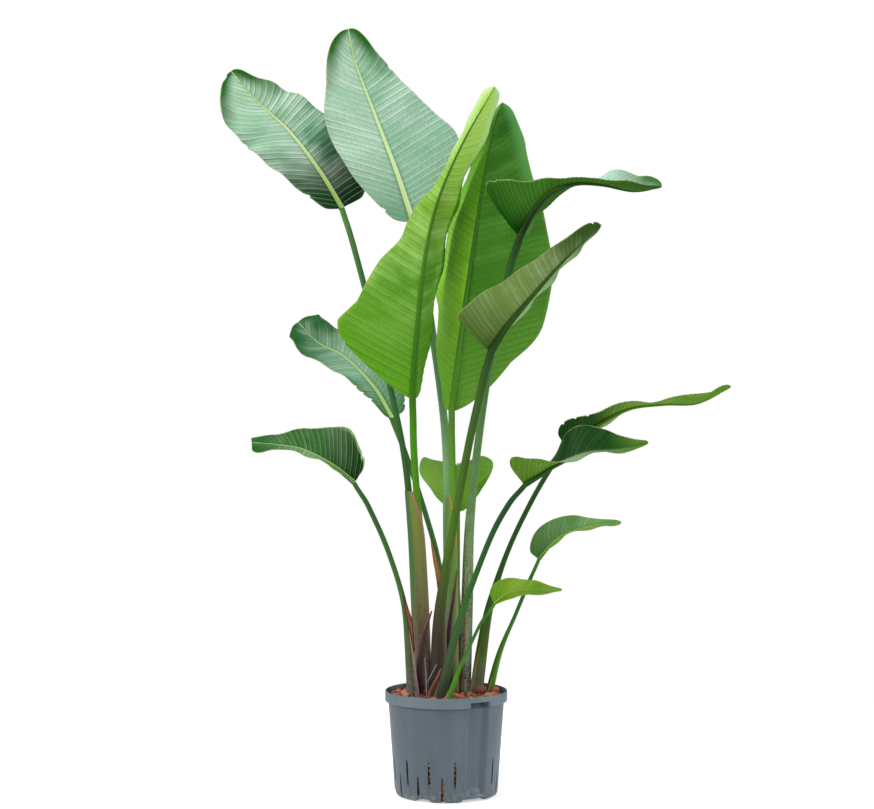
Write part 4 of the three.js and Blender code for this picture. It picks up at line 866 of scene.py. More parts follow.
# sheath skins: dried and living flanks of the stalk's foot. margin: colour and width in mm of the
# dried hem; spots: how strong the dark stains are; near: colour where it still lies on its own stalk.
sheathLooks = {
    "oliveSheath": {"foot": "#75696c", "body": "#625a40", "top": "#66742c", "near": "#3f6a30",
                    "margin": ("#96605a", 3.0), "spots": 0.6},
    "greenSheath": {"foot": "#5f6444", "body": "#5f7f48", "top": "#5a8830", "near": "#6c9468",
                    "margin": ("#b07a4a", 2.6), "spots": 0.2},
    "greySheath": {"foot": "#7a7076", "body": "#5c5a4c", "top": "#485634", "margin": ("#96706a", 1.6),
                   "spots": 0.6},
    "driedRed": {"foot": "#5a2c20", "body": "#7f4434", "top": "#703428", "margin": ("#3c1c18", 0.8),
                 "spots": 0.3},
    "brownHem": {"foot": "#6f6a5a", "body": "#5c7c44", "top": "#5c8440", "margin": ("#7c5a34", 2.6),
                 "spots": 0.4},
    "purpleSheath": {"foot": "#36282e", "body": "#473f34", "top": "#5a6430", "margin": ("#6a3c38", 3.4),
                     "spots": 0.6},
    "orangeHem": {"foot": "#5f6038", "body": "#5c8038", "top": "#5f8a34", "margin": ("#a5673c", 7.0),
                  "spots": 0.1},
    "driedPurple": {"foot": "#2c2026", "body": "#33222a", "top": "#3c2a2c", "margin": ("#744a4c", 0.5),
                    "spots": 0.4},
    "driedRust": {"foot": "#3c3426", "body": "#4a3424", "top": "#5a3428", "margin": ("#8c5a44", 0.8),
                  "spots": 0.4},
    "driedTan": {"foot": "#7c5230", "body": "#ab7444", "top": "#b8844f", "margin": ("#9a6238", 0.8),
                 "spots": 0.3},
    "paleHem": {"foot": "#a5a89c", "body": "#64804c", "top": "#5c8440", "margin": ("#7c5a34", 1.8),
                "spots": 0.7},
    "paleFibre": {"foot": "#86808a", "body": "#a09aa2", "top": "#a8a2a6", "margin": ("#948e94", 0.3),
                  "spots": 0.1},
}
# the other leaves have greenSheath
sheathSkinOf = {"leaf_01": "oliveSheath", "leaf_02": "greenSheath", "leaf_05": "paleHem",
                "leaf_06": "purpleSheath", "leaf_07": "orangeHem", "leaf_08": "greySheath",
                "leaf_09": "brownHem", "leaf_10": "brownHem", "leaf_11": "brownHem"}


def sheathSkin(name, look):
    # clasping leaf base, living or dried: fibrous and matt, brown along its papery margins
    material, tree = newMaterial(name)
    wrap = addNode(tree, "ShaderNodeUVMap", {"uv_map": "veinMap"})
    place = addNode(tree, "ShaderNodeUVMap", {"uv_map": "placeMap"})
    parts = addNode(tree, "ShaderNodeSeparateXYZ", links={0: place.outputs[0]})
    body = addNode(tree, "ShaderNodeValToRGB",
                   {"stops": list(zip((0.0, 0.35, 0.95), (look["foot"], look["body"], look["top"])))},
                   {0: parts.outputs[0]})
    source = body.outputs[0]
    if "near" in look:
        # where it still lies on its own stalk it keeps that stalk's green
        wing = addNode(tree, "ShaderNodeUVMap", {"uv_map": "wingMap"})
        wingParts = addNode(tree, "ShaderNodeSeparateXYZ", links={0: wing.outputs[0]})
        source = addNode(tree, "ShaderNodeMix", {"data_type": "RGBA", 6: look["near"]},
                         {0: wingParts.outputs[0], 7: source}).outputs[2]
    stretch = addNode(tree, "ShaderNodeMapping", {"Scale": (700.0, 18.0, 1.0)}, {0: wrap.outputs[0]})
    fibres = addNode(tree, "ShaderNodeTexNoise", {"noise_dimensions": "2D", "Scale": 1.0, "Detail": 3.0},
                     {"Vector": stretch.outputs[0]})
    fibreShare = addNode(tree, "ShaderNodeMapRange", {"From Min": 0.3, "From Max": 0.8, "To Max": 0.6},
                         {0: fibres.outputs[0]})
    fibrous = addNode(tree, "ShaderNodeMix", {"data_type": "RGBA", "blend_type": "SOFT_LIGHT",
                                              7: "#cbbfae"},
                      {0: fibreShare.outputs[0], 6: source})
    ragged = addNode(tree, "ShaderNodeMath", {"operation": "MULTIPLY_ADD", 1: 0.004, 2: -0.001},
                     {0: fibres.outputs[0]})
    marginShift = addNode(tree, "ShaderNodeMath", {"operation": "SUBTRACT"},
                          {0: parts.outputs[1], 1: ragged.outputs[0]})
    # dark stains about 4 by 11 mm, more of them low down
    stainPlace = addNode(tree, "ShaderNodeMapping", {"Scale": (260.0, 90.0, 1.0)}, {0: wrap.outputs[0]})
    stains = addNode(tree, "ShaderNodeTexNoise", {"noise_dimensions": "2D", "Scale": 1.0, "Detail": 2.0},
                     {"Vector": stainPlace.outputs[0]})
    stainShare = addNode(tree, "ShaderNodeMapRange",
                         {"From Min": 0.52, "From Max": 0.66, "To Max": look["spots"]},
                         {0: stains.outputs[0]})
    stainLow = addNode(tree, "ShaderNodeMapRange", {"From Min": 0.8, "From Max": 0.1},
                       {0: parts.outputs[0]})
    stainPart = addNode(tree, "ShaderNodeMath", {"operation": "MULTIPLY"},
                        {0: stainShare.outputs[0], 1: stainLow.outputs[0]})
    stained = addNode(tree, "ShaderNodeMix", {"data_type": "RGBA", 7: "#2c2420"},
                      {0: stainPart.outputs[0], 6: fibrous.outputs[2]})
    hemTone, hemWide = look["margin"]
    marginShare = addNode(tree, "ShaderNodeMapRange",
                          {"interpolation_type": "SMOOTHSTEP", "From Min": hemWide * mm,
                           "From Max": hemWide * 0.4 * mm}, {0: marginShift.outputs[0]})
    edged = addNode(tree, "ShaderNodeMix", {"data_type": "RGBA", 7: hemTone},
                    {0: marginShare.outputs[0], 6: stained.outputs[2]})
    bump = addNode(tree, "ShaderNodeBump", {"Strength": 0.6, "Distance": 0.0005},
                   {"Height": fibres.outputs[0]})
    skin = addNode(tree, "ShaderNodeBsdfPrincipled",
                   {"IOR": 1.4, "Specular IOR Level": 0.3, "Roughness": 0.6},
                   {"Base Color": edged.outputs[2], "Normal": bump.outputs[0]})
    addNode(tree, "ShaderNodeOutputMaterial", links={0: skin.outputs[0]})
    return material


sheathSkins = {key: sheathSkin("fibrousSheath_" + key, look) for key, look in sheathLooks.items()}

# sheath sheets, in mm. foot: height they start at; clear: room to the stalks; flare: how far the front
# margin stands off at the foot; points: steps of a row's outline; taper: how much narrower the top is;
# flutter: height and length of a margin's waves; slip: share of the height from which a held stalk
# works free, and how sharply; buried: share of another stalk's radius within which a point is cut away
sheathSheet = {"columns": 28, "rows": 60, "foot": 161, "thick": 1.1, "clear": 0.7, "flare": 3.0,
               "points": 72, "taper": 0.25, "flutter": (1.2, 22), "slip": (0.68, 2.2), "buried": 0.45}
# older sheaths that wrap a younger stalk too: the way their back and front margins face, in
# degrees from +X, at the foot and at the top
sheathHolds = {
    "leaf_01": {"held": "leaf_03", "back": (100, 195), "front": (356, 218)},
    "leaf_02": {"held": "leaf_04", "back": (80, 200), "front": (350, 225)},
}


def sheathRow(leaf, level, s):
    # outline of a sheath at one height, from its back margin to its front one
    wrapRadius, heading, halfAngle = leaf["sheath"][1:]
    own = centreAt(leaf, level)
    hold = sheathHolds.get(leaf["node"])
    slipFrom, slipPower = sheathSheet["slip"]
    flutterHeight, flutterLength = sheathSheet["flutter"]
    row = []
    for k in range(sheathSheet["points"] + 1):
        share = k / sheathSheet["points"]
        if hold:
            discs = [own, centreAt(leaves[hold["held"]], level)]
            first = mix(*hold["back"], s * s)
            last = mix(*hold["front"], max(0.0, (s - slipFrom) / (1 - slipFrom)) ** slipPower)
            turn = math.radians(mix(first, last, share))
            way = Vector((math.cos(turn), math.sin(turn), 0))
            core, size = max(discs, key=lambda disc: disc[0].dot(way) + disc[1])
            room = sheathSheet["clear"] + sheathSheet["flare"] * share ** 3 * (1 - s)
            row.append(Vector((core.x, core.y, level)) + way * (size + room))
        else:
            middle = math.radians(heading)
            reach = wrapRadius * (1 - sheathSheet["taper"] * s)
            spread = math.radians(halfAngle) * (1 - s ** 1.6) + 0.12
            x = 2 * share - 1
            turn = middle + math.pi + x * spread
            wave = noise.noise(Vector((level / flutterLength, leaf["number"] * 4.7, x)))
            flutter = flutterHeight * wave * abs(x) ** 3
            row.append(Vector((own[0].x + reach * math.cos(middle) + (reach + flutter) * math.cos(turn),
                               own[0].y + reach * math.sin(middle) + (reach + flutter) * math.sin(turn),
                               level)))
    lengths = [0.0]
    for a, b in zip(row, row[1:]):
        lengths.append(lengths[-1] + (b - a).length)
    return row, lengths


def sheathPiece(name, leaf, skin):
    top = leaf["sheath"][0]
    bm = gridBmesh(sheathSheet["columns"], sheathSheet["rows"], ("veinMap", "placeMap", "wingMap"))
    held = sheathHolds.get(leaf["node"], {}).get("held")
    others = [other for other in leaves.values() if other is not leaf and other["node"] != held]
    rows = []
    for i in range(sheathSheet["rows"] + 1):
        s = i / sheathSheet["rows"]
        rows.append(sheathRow(leaf, mix(sheathSheet["foot"], top, s), s))
    notes = {}
    buried = set()       # points that would lie deep in another stalk
    for vert in bm.verts:
        x, s = vert.co.x, (vert.co.y + 1) / 2
        row, lengths = rows[round(s * sheathSheet["rows"])]
        target = (x + 1) / 2 * lengths[-1]
        k = min(max(bisect_right(lengths, target) - 1, 0), len(row) - 2)
        step = max(lengths[k + 1] - lengths[k], 1e-6)
        point = row[k].lerp(row[k + 1], min((target - lengths[k]) / step, 1.0))
        level = point.z
        for _ in range(2):           # twice, because one push can reach into the next stalk
            for other in others:
                core, size = centreAt(other, level)
                if core is None:
                    continue
                gap = Vector((point.x - core.x, point.y - core.y, 0))
                least = size + sheathSheet["clear"]
                if gap.length < least:
                    if gap.length < size * sheathSheet["buried"]:
                        buried.add(vert)
                    point = point + gap.normalized() * (least - gap.length)
        hem = (lengths[-1] - target if held else min(target, lengths[-1] - target)) * mm
        own = centreAt(leaf, level)
        away = math.hypot(point.x - own[0].x, point.y - own[0].y) - own[1]
        # wing is 0 where the sheath lies on its own stalk and 1 where it has left it or is old
        leave = 1.5 + 11 * s ** 8
        wing = max(smooth(away, leave, leave + 6), 1 - smooth(s, 0.3, 0.62))
        notes[vert] = (((target - lengths[-1] / 2) * mm, level * mm), (s, hem), (wing, 0.0))
        vert.co = point * mm
    stampMaps(bm, notes)
    lost = [face for face in bm.faces if sum(v in buried for v in face.verts) >= 3]
    bmesh.ops.delete(bm, geom=lost, context="FACES")
    piece = finishPiece(bm, name, [skin], leaf["node"] + "_stalk")
    thicken(piece, sheathSheet["thick"])


stripSheet = {"columns": 6, "rows": 32, "thick": 0.5, "wave": 0.8}
# dried remains of old sheaths at the feet: course in mm, widths in mm along it, and how far each
# strip cups towards the front
driedStrips = {
    "driedFlap": {"leaf": "leaf_08", "skin": "driedRed", "cup": 1.0, "widths": [1.5, 7, 8, 5, 2],
                  "course": [(-76, -50, 361), (-69.5, -49, 335), (-63.5, -47, 310), (-60, -45, 285),
                             (-57, -43, 261)]},
    "driedShoulder": {"leaf": "leaf_07", "skin": "driedTan", "cup": 1.0, "widths": [1.5, 7, 10, 9],
                      "course": [(-27.7, 72, 449), (-21.5, 72, 421), (-15, 71, 391), (-10, 70, 358)]},
    "driedStripLeft": {"leaf": "leaf_06", "skin": "driedPurple", "cup": 2.0, "widths": [2, 7, 10, 9, 8, 7],
                       "course": [(-26, -36, 333), (-37, -38, 300), (-45, -35, 265), (-49, -32, 230),
                                  (-46, -30, 196), (-44, -29, 168)]},
    "driedStripMiddle": {"leaf": "leaf_05", "skin": "driedPurple", "cup": 1.5, "widths": [2, 6, 8, 7, 5],
                         "course": [(20, -2, 402), (14, -8, 360), (7, -12, 310), (4, -14, 262),
                                    (3, -14, 215)]},
    "driedFragment": {"leaf": "leaf_11", "skin": "driedRust", "cup": 1.0, "widths": [1.5, 6, 10, 10],
                      "course": [(-9, -47, 232), (-17, -49, 212), (-25, -48, 192), (-29, -47, 170)]},
    "fibreLong": {"leaf": "leaf_06", "skin": "paleFibre", "cup": 0.2, "widths": [0.6, 1.3, 0.9],
                  "course": [(-17, -47, 240), (-26, -46, 222), (-34, -44, 205)]},
    "fibreShort": {"leaf": "leaf_06", "skin": "paleFibre", "cup": 0.2, "widths": [0.6, 1.2, 0.8],
                   "course": [(-38, -40, 250), (-36, -43, 215), (-35, -43, 172)]},
}


def stripPiece(name, strip):
    bm = gridBmesh(stripSheet["columns"], stripSheet["rows"])
    course = makeCurve(strip["course"])
    notes = {}
    for vert in bm.verts:
        x, s = vert.co.x, 1 - (vert.co.y + 1) / 2
        forward = curveTangent(course, s)
        across = Vector((forward.z, 0, -forward.x)).normalized()
        half = glide(strip["widths"], s) / 2
        wave = noise.noise(Vector((s * 6, len(name), x)))
        front = strip["cup"] * (1 - x * x) + stripSheet["wave"] * wave
        point = curveAt(course, s) + across * (half * (x + 0.25 * wave)) + Vector((0, -front, 0))
        notes[vert] = ((x * half * mm, point.z * mm), (1 - s, (1 - abs(x)) * half * mm))
        vert.co = point * mm
    stampMaps(bm, notes)
    bmesh.ops.recalc_face_normals(bm, faces=bm.faces)
    piece = finishPiece(bm, name, [sheathSkins[strip["skin"]]], strip["leaf"] + "_stalk")
    thicken(piece, stripSheet["thick"])


for name, leaf in leaves.items():
    bladePiece(name.replace("leaf", "blade"), leaf, looks[name])
print("blades made")
for name, leaf in leaves.items():
    stalkPiece(name.replace("leaf", "stalk"), leaf, looks[name])
    skin = sheathSkins[sheathSkinOf.get(name, "greenSheath")]
    sheathPiece(name.replace("leaf", "sheath"), leaf, skin)
for name, strip in driedStrips.items():
    stripPiece(name, strip)
print("stalks and sheaths made")

# pot: slotted hydroculture pot, moulded in one piece, in mm and in degrees from the front. wallLevels:
# heights where the wall has its bottom and top radius; channel: where the water gauge's channel is, with
# how its edges and foot fade in; notch: cut in the rim over it; arches: middle and half width of the
# gaps between the feet, archLift: their height; bars: a slot's foot and top, its half widths at top and
# foot; barDepth: how far inside the wall a bar starts; outsideFoot, insideFoot: radius and height along
# the outline
pot = {"height": 187, "rimRadius": 110, "rimBand": 19, "wallTop": 104, "wallBottom": 93, "wall": 2.2,
       "wallLevels": (8, 166), "segments": 160, "channel": 34, "channelHalf": 12.5, "channelDepth": 8,
       "channelEdge": (6, 1), "channelFoot": (6, 26), "channelCrowd": 0.62, "notchHalf": 7.6,
       "notchTop": 178, "arches": {-28: 7, 34: 14, 94: 7, 154: 7, 214: 7, 274: 7}, "archLift": 4.7,
       "archRadii": (74, 80), "archHeights": (3, 16),
       "upperSlots": [-73, -46, -18.5, 9, 58.5, 86, 114, 141, 169, 196, 224, 251],
       "lowerSlots": [-59, -32, -4.5, 72, 100, 127, 155, 183, 210, 238],
       "upperBar": (26, 73, 2.5, 2.2), "lowerBar": (-6, 46, 1.7, 3.1), "barDepth": 14, "barLength": 30,
       "outsideFoot": [(0, 1.2), (40, 1.2), (76, 1.2), (80, 0.6), (84, 0.1), (86.5, 0.2), (88.6, 1.0),
                       (90.6, 2.4), (92.0, 4.4), (92.8, 6.4)],
       "outsideRings": (9, 14, 20, 26, 40, 55, 70, 90, 110, 130, 150, 160, 164),
       "insideRings": (166, 150, 130, 90, 60, 40, 26, 16, 11),
       "insideFoot": [(89.6, 6), (87.5, 3.6), (84, 2.8), (60, 2.6), (0, 2.6)]}


def angleBetween(a, b):
    return abs((a - b + 180) % 360 - 180)


def potWall(level):
    # the wall's outer radius at a height
    low, high = pot["wallLevels"]
    return mix(pot["wallBottom"], pot["wallTop"], (level - low) / (high - low))


def channelPull(angle, level, top):
    away = angleBetween(angle, pot["channel"])
    inEdge, outEdge = pot["channelEdge"]
    across = 1 - smooth(away, pot["channelHalf"] - inEdge, pot["channelHalf"] + outEdge)
    fade = smooth(level, *pot["channelFoot"]) * (1 - smooth(level, top, top + 0.6))
    return pot["channelDepth"] * across * fade


def slotBar(bm, angle, low, high, halfTop, halfBottom):
    # lens-shaped bar through the wall: a circle drawn out into a slot's outline, then extruded
    made = bmesh.ops.create_circle(bm, cap_ends=True, segments=20, radius=1)
    turn = math.radians(angle)
    outward = Vector((math.sin(turn), -math.cos(turn), 0))
    sideways = Vector((math.cos(turn), math.sin(turn), 0))
    for vert in made["verts"]:
        x, y = vert.co.x, vert.co.y
        half = mix(halfBottom, halfTop, (y + 1) / 2)
        wide = math.copysign(abs(x) ** 0.6, x) * half
        level = mix(low, high, (y + 1) / 2)
        away = potWall(level) - pot["barDepth"]
        vert.co = (outward * away + sideways * wide) * mm + Vector((0, 0, level * mm))
    cap = made["verts"][0].link_faces[0]
    grown = bmesh.ops.extrude_face_region(bm, geom=[cap])
    far = [item for item in grown["geom"] if isinstance(item, bmesh.types.BMVert)]
    bmesh.ops.translate(bm, verts=far, vec=outward * pot["barLength"] * mm)


def potPiece():
    shoulder = pot["height"] - pot["rimBand"]
    rim, wall, height, notchTop = pot["rimRadius"], pot["wall"], pot["height"], pot["notchTop"]
    # outline from the middle of the underside, up outside, over the rim and down inside
    outer = pot["outsideFoot"] + [(potWall(level), level) for level in pot["outsideRings"]]
    outer += [(potWall(shoulder - 1), shoulder - 1.2), (potWall(shoulder) + 0.4, shoulder - 0.3),
              (rim - 2.0, shoulder), (rim - 0.7, shoulder + 0.2), (rim - 0.1, shoulder + 0.9)]
    outer += [(rim, level) for level in (shoulder + 2, notchTop - 0.7, notchTop + 0.1, height - 2.2)]
    outer += [(rim - 0.2, height - 1.1), (rim - 0.7, height - 0.3), (rim - 1.2, height),
              (rim - wall + 0.3, height - 0.3)]
    inner = [(rim - wall - 0.1, height - 2), (rim - wall - 0.2, notchTop + 3),
             (rim - wall - 0.3, notchTop + 2), (rim - wall - 0.4, shoulder + 4),
             (rim - wall - 1.5, shoulder + 2), (potWall(shoulder) - wall + 0.6, shoulder + 0.8)]
    inner += [(potWall(level) - wall, level) for level in pot["insideRings"]] + pot["insideFoot"]
    bm = bmesh.new()
    depth = bm.verts.layers.float.new("inside")
    verts = [bm.verts.new((radius * mm, 0, level * mm)) for radius, level in outer + inner]
    edges = [bm.edges.new(pair) for pair in zip(verts, verts[1:])]
    for i, vert in enumerate(verts):
        vert[depth] = 1.0 if i >= len(outer) else 0.0
    bmesh.ops.spin(bm, geom=verts + edges, cent=(0, 0, 0), axis=(0, 0, 1), angle=2 * math.pi,
                   steps=pot["segments"], use_merge=True)
    bmesh.ops.remove_doubles(bm, verts=bm.verts, dist=1e-6)
    for vert in bm.verts:
        radius, level = math.hypot(vert.co.x, vert.co.y) / mm, vert.co.z / mm
        if radius < 1e-3:
            continue
        even = math.atan2(vert.co.y, vert.co.x)
        # rings are crowded at the channel
        turn = even - pot["channelCrowd"] * math.sin(even) + math.radians(pot["channel"])
        angle = math.degrees(turn)
        inside = vert[depth] > 0.5
        top = notchTop + (1.5 if inside else -0.4)
        if radius > 80:
            if shoulder - 2 < level < top + 0.5:
                # the rim's skirt is cut away over the channel, down to the wall behind it
                away = angleBetween(angle, pot["channel"])
                cut = 1 - smooth(away, pot["notchHalf"], pot["notchHalf"] + 0.9)
                back = potWall(min(level, shoulder)) - (wall if inside else 0)
                radius = mix(radius, min(radius, back), cut)
            radius -= channelPull(angle, level, top)
        lift = max(1 - smooth(angleBetween(angle, arch), half, half + 4)
                   for arch, half in pot["arches"].items())
        fade = smooth(radius, *pot["archRadii"]) * (1 - smooth(level, *pot["archHeights"]))
        level += pot["archLift"] * lift * fade
        vert.co = (radius * math.sin(turn) * mm, -radius * math.cos(turn) * mm, level * mm)
    bmesh.ops.recalc_face_normals(bm, faces=bm.faces)
    piece = finishPiece(bm, "culturePot", [potPlastic], "pot")
    bars = bmesh.new()
    for row in ("upper", "lower"):
        for angle in pot[row + "Slots"]:
            slotBar(bars, angle, *pot[row + "Bar"])
    bmesh.ops.recalc_face_normals(bars, faces=bars.faces)
    cutterMesh = bpy.data.meshes.new("slotBars")
    bars.to_mesh(cutterMesh)
    bars.free()
    cutter = bpy.data.objects.new("slotBars", cutterMesh)
    scene.collection.objects.link(cutter)
    cut = piece.modifiers.new("slots", "BOOLEAN")
    cut.operation = "DIFFERENCE"
    cut.solver = "EXACT"
    cut.object = cutter
    graph = bpy.context.evaluated_depsgraph_get()
    whole = bpy.data.meshes.new_from_object(piece.evaluated_get(graph))
    piece.modifiers.clear()
    piece.data = whole
    bpy.data.objects.remove(cutter)
    for polygon in whole.polygons:
        polygon.use_smooth = True
    whole.set_sharp_from_angle(angle=math.radians(32))


def makePotPlastic():
    # injection-moulded recycled polyethylene: matt slate, faint flow marks and rubbed dust, with painted
    # shade under the rim's skirt and in the notch
    material, tree = newMaterial("mouldedPolyethylene")
    spot = addNode(tree, "ShaderNodeTexCoord")
    flow = addNode(tree, "ShaderNodeMapping", {"Scale": (1.0, 1.0, 0.25)}, {0: spot.outputs["Object"]})
    marks = addNode(tree, "ShaderNodeTexNoise", {"Scale": 26.0, "Detail": 3.0}, {"Vector": flow.outputs[0]})
    body = addNode(tree, "ShaderNodeValToRGB",
                   {"stops": [(0.3, "#3a464e"), (0.55, "#424f58"), (0.78, "#505e67")]}, {0: marks.outputs[0]})
    parts = addNode(tree, "ShaderNodeSeparateXYZ", links={0: spot.outputs["Object"]})
    # lime and dust near the foot, in flecks
    low = addNode(tree, "ShaderNodeMapRange", {"From Min": 0.03, "From Max": 0.0, "To Max": 0.5},
                  {0: parts.outputs[2]})
    flecks = addNode(tree, "ShaderNodeTexNoise", {"Scale": 120.0, "Detail": 3.0},
                     {"Vector": spot.outputs["Object"]})
    fleckShare = addNode(tree, "ShaderNodeMapRange", {"From Min": 0.5, "From Max": 0.7},
                         {0: flecks.outputs[0]})
    dust = addNode(tree, "ShaderNodeMath", {"operation": "MULTIPLY"},
                   {0: low.outputs[0], 1: fleckShare.outputs[0]})
    dusty = addNode(tree, "ShaderNodeMix", {"data_type": "RGBA", 7: "#8c9188"},
                    {0: dust.outputs[0], 6: body.outputs[0]})
    # painted shade in the corner under the rim's skirt and in the notch, where little light reaches
    flat = addNode(tree, "ShaderNodeVectorMath", {"operation": "MULTIPLY", 1: (1.0, 1.0, 0.0)},
                   {0: spot.outputs["Object"]})
    reach = addNode(tree, "ShaderNodeVectorMath", {"operation": "LENGTH"}, {0: flat.outputs[0]})
    tucked = addNode(tree, "ShaderNodeMapRange", {"From Min": 0.1075, "From Max": 0.106},
                     {0: reach.outputs[1]})
    high = addNode(tree, "ShaderNodeMapRange", {"From Min": 0.1645, "From Max": 0.1672, "To Max": 0.95},
                   {0: parts.outputs[2]})
    cornerShade = addNode(tree, "ShaderNodeMath", {"operation": "MULTIPLY"},
                    {0: tucked.outputs[0], 1: high.outputs[0]})
    # the rim is rubbed paler by handling
    rubbed = addNode(tree, "ShaderNodeMapRange", {"From Min": 0.167, "From Max": 0.17, "To Max": 0.3},
                     {0: parts.outputs[2]})
    worn = addNode(tree, "ShaderNodeMix", {"data_type": "RGBA", 7: "#74858f"},
                   {0: rubbed.outputs[0], 6: dusty.outputs[2]})
    # painted shade under the rim's skirt and in the notch, laid over the plastic's colour
    cornerShaded = addNode(tree, "ShaderNodeMix", {"data_type": "RGBA", 7: "#171d21"},
                     {0: cornerShade.outputs[0], 6: worn.outputs[2]})
    gloss = addNode(tree, "ShaderNodeMapRange", {"To Min": 0.4, "To Max": 0.55}, {0: marks.outputs[0]})
    # moulding grain 0.6 mm across
    grain = addNode(tree, "ShaderNodeTexNoise", {"Scale": 1600.0, "Detail": 1.0},
                    {"Vector": spot.outputs["Object"]})
    bump = addNode(tree, "ShaderNodeBump", {"Strength": 0.25, "Distance": 0.0002},
                   {"Height": grain.outputs[0]})
    skin = addNode(tree, "ShaderNodeBsdfPrincipled", {"IOR": 1.5},
                   {"Base Color": cornerShaded.outputs[2], "Roughness": gloss.outputs[0],
                    "Normal": bump.outputs[0]})
    addNode(tree, "ShaderNodeOutputMaterial", links={0: skin.outputs[0]})
    return material


potPlastic = makePotPlastic()
potPiece()
print("pot made")

# fired clay pebbles: the top layers and those behind the slots are single pebbles round a bed
# that is painted dark as the shade between them.
# size: radius, least and most; big: place and radius of those that stand out; levels: height of a
# layer, how many are tried, spacing in mean radii of two; drift: in height; stalkRoom: least room from
# a stalk to a pebble's centre, in its radii; slotRows: lowest, ceiling and step of those behind the
# slots, gap to the wall, drift in height; channelTop: where the gauge channel ends for them; bedGap:
# bed to wall
pebbles = {"size": (5.0, 8.8), "top": 172, "seed": 7, "stalkRoom": 0.55,
           "big": [((59, -12, 189), 8.6), ((89, 1, 187), 7.0), ((72, -8, 183), 5.2),
                   ((-72, -40, 183), 6.4)],
           "levels": [(166, 900, 1.5), (176.5, 4200, 1.5)], "drift": (-1.5, 2.5), "slotSize": (4.8, 6.2),
           "slotRows": {"upper": (30, 72, 9, 0.6, (-2, 2)), "lower": (10, 48, 9, 2.2, (-1, 2))},
           "channelTop": 170, "bedGap": 13}


def makeFiredClay():
    # expanded clay burnt in a kiln: brick red rind, matt and pitted, a few darker or limed
    material, tree = newMaterial("firedClay")
    tone = addNode(tree, "ShaderNodeUVMap", {"uv_map": "toneMap"})
    parts = addNode(tree, "ShaderNodeSeparateXYZ", links={0: tone.outputs[0]})
    spot = addNode(tree, "ShaderNodeTexCoord")
    # the darkest stop, at 0, is painted shade for the bed between the pebbles; the others are the clay's own
    # tones
    body = addNode(tree, "ShaderNodeValToRGB",
                   {"stops": [(0.0, "#33241e"), (0.08, "#5a453a"), (0.14, "#8c4c34"), (0.5, "#a85e42"),
                              (0.8, "#bd7452"), (0.94, "#cf906c"), (1.0, "#8c867c")]},
                   {0: parts.outputs[0]})
    cloud = addNode(tree, "ShaderNodeTexNoise", {"Scale": 170.0, "Detail": 4.0, "Roughness": 0.65},
                    {"Vector": spot.outputs["Object"]})
    cloudShare = addNode(tree, "ShaderNodeMapRange", {"From Min": 0.35, "From Max": 0.7, "To Max": 0.45},
                         {0: cloud.outputs[0]})
    clouded = addNode(tree, "ShaderNodeMix", {"data_type": "RGBA", "blend_type": "MULTIPLY", 7: "#8f7468"},
                      {0: cloudShare.outputs[0], 6: body.outputs[0]})
    # pits of 0.7 mm, painted dark as the shade in them
    pits = addNode(tree, "ShaderNodeTexVoronoi", {"Scale": 900.0}, {"Vector": spot.outputs["Object"]})
    pitShare = addNode(tree, "ShaderNodeMapRange", {"From Min": 0.3, "From Max": 0.1, "To Max": 0.5},
                       {0: pits.outputs[0]})
    pitted = addNode(tree, "ShaderNodeMix", {"data_type": "RGBA", 7: "#3a221a"},
                     {0: pitShare.outputs[0], 6: clouded.outputs[2]})
    relief = addNode(tree, "ShaderNodeMath", {"operation": "ADD"}, {0: cloud.outputs[0], 1: pits.outputs[0]})
    bump = addNode(tree, "ShaderNodeBump", {"Strength": 0.7, "Distance": 0.0006},
                   {"Height": relief.outputs[0]})
    skin = addNode(tree, "ShaderNodeBsdfPrincipled", {"IOR": 1.5, "Roughness": 0.85},
                   {"Base Color": pitted.outputs[2], "Normal": bump.outputs[0]})
    addNode(tree, "ShaderNodeOutputMaterial", links={0: skin.outputs[0]})
    return material


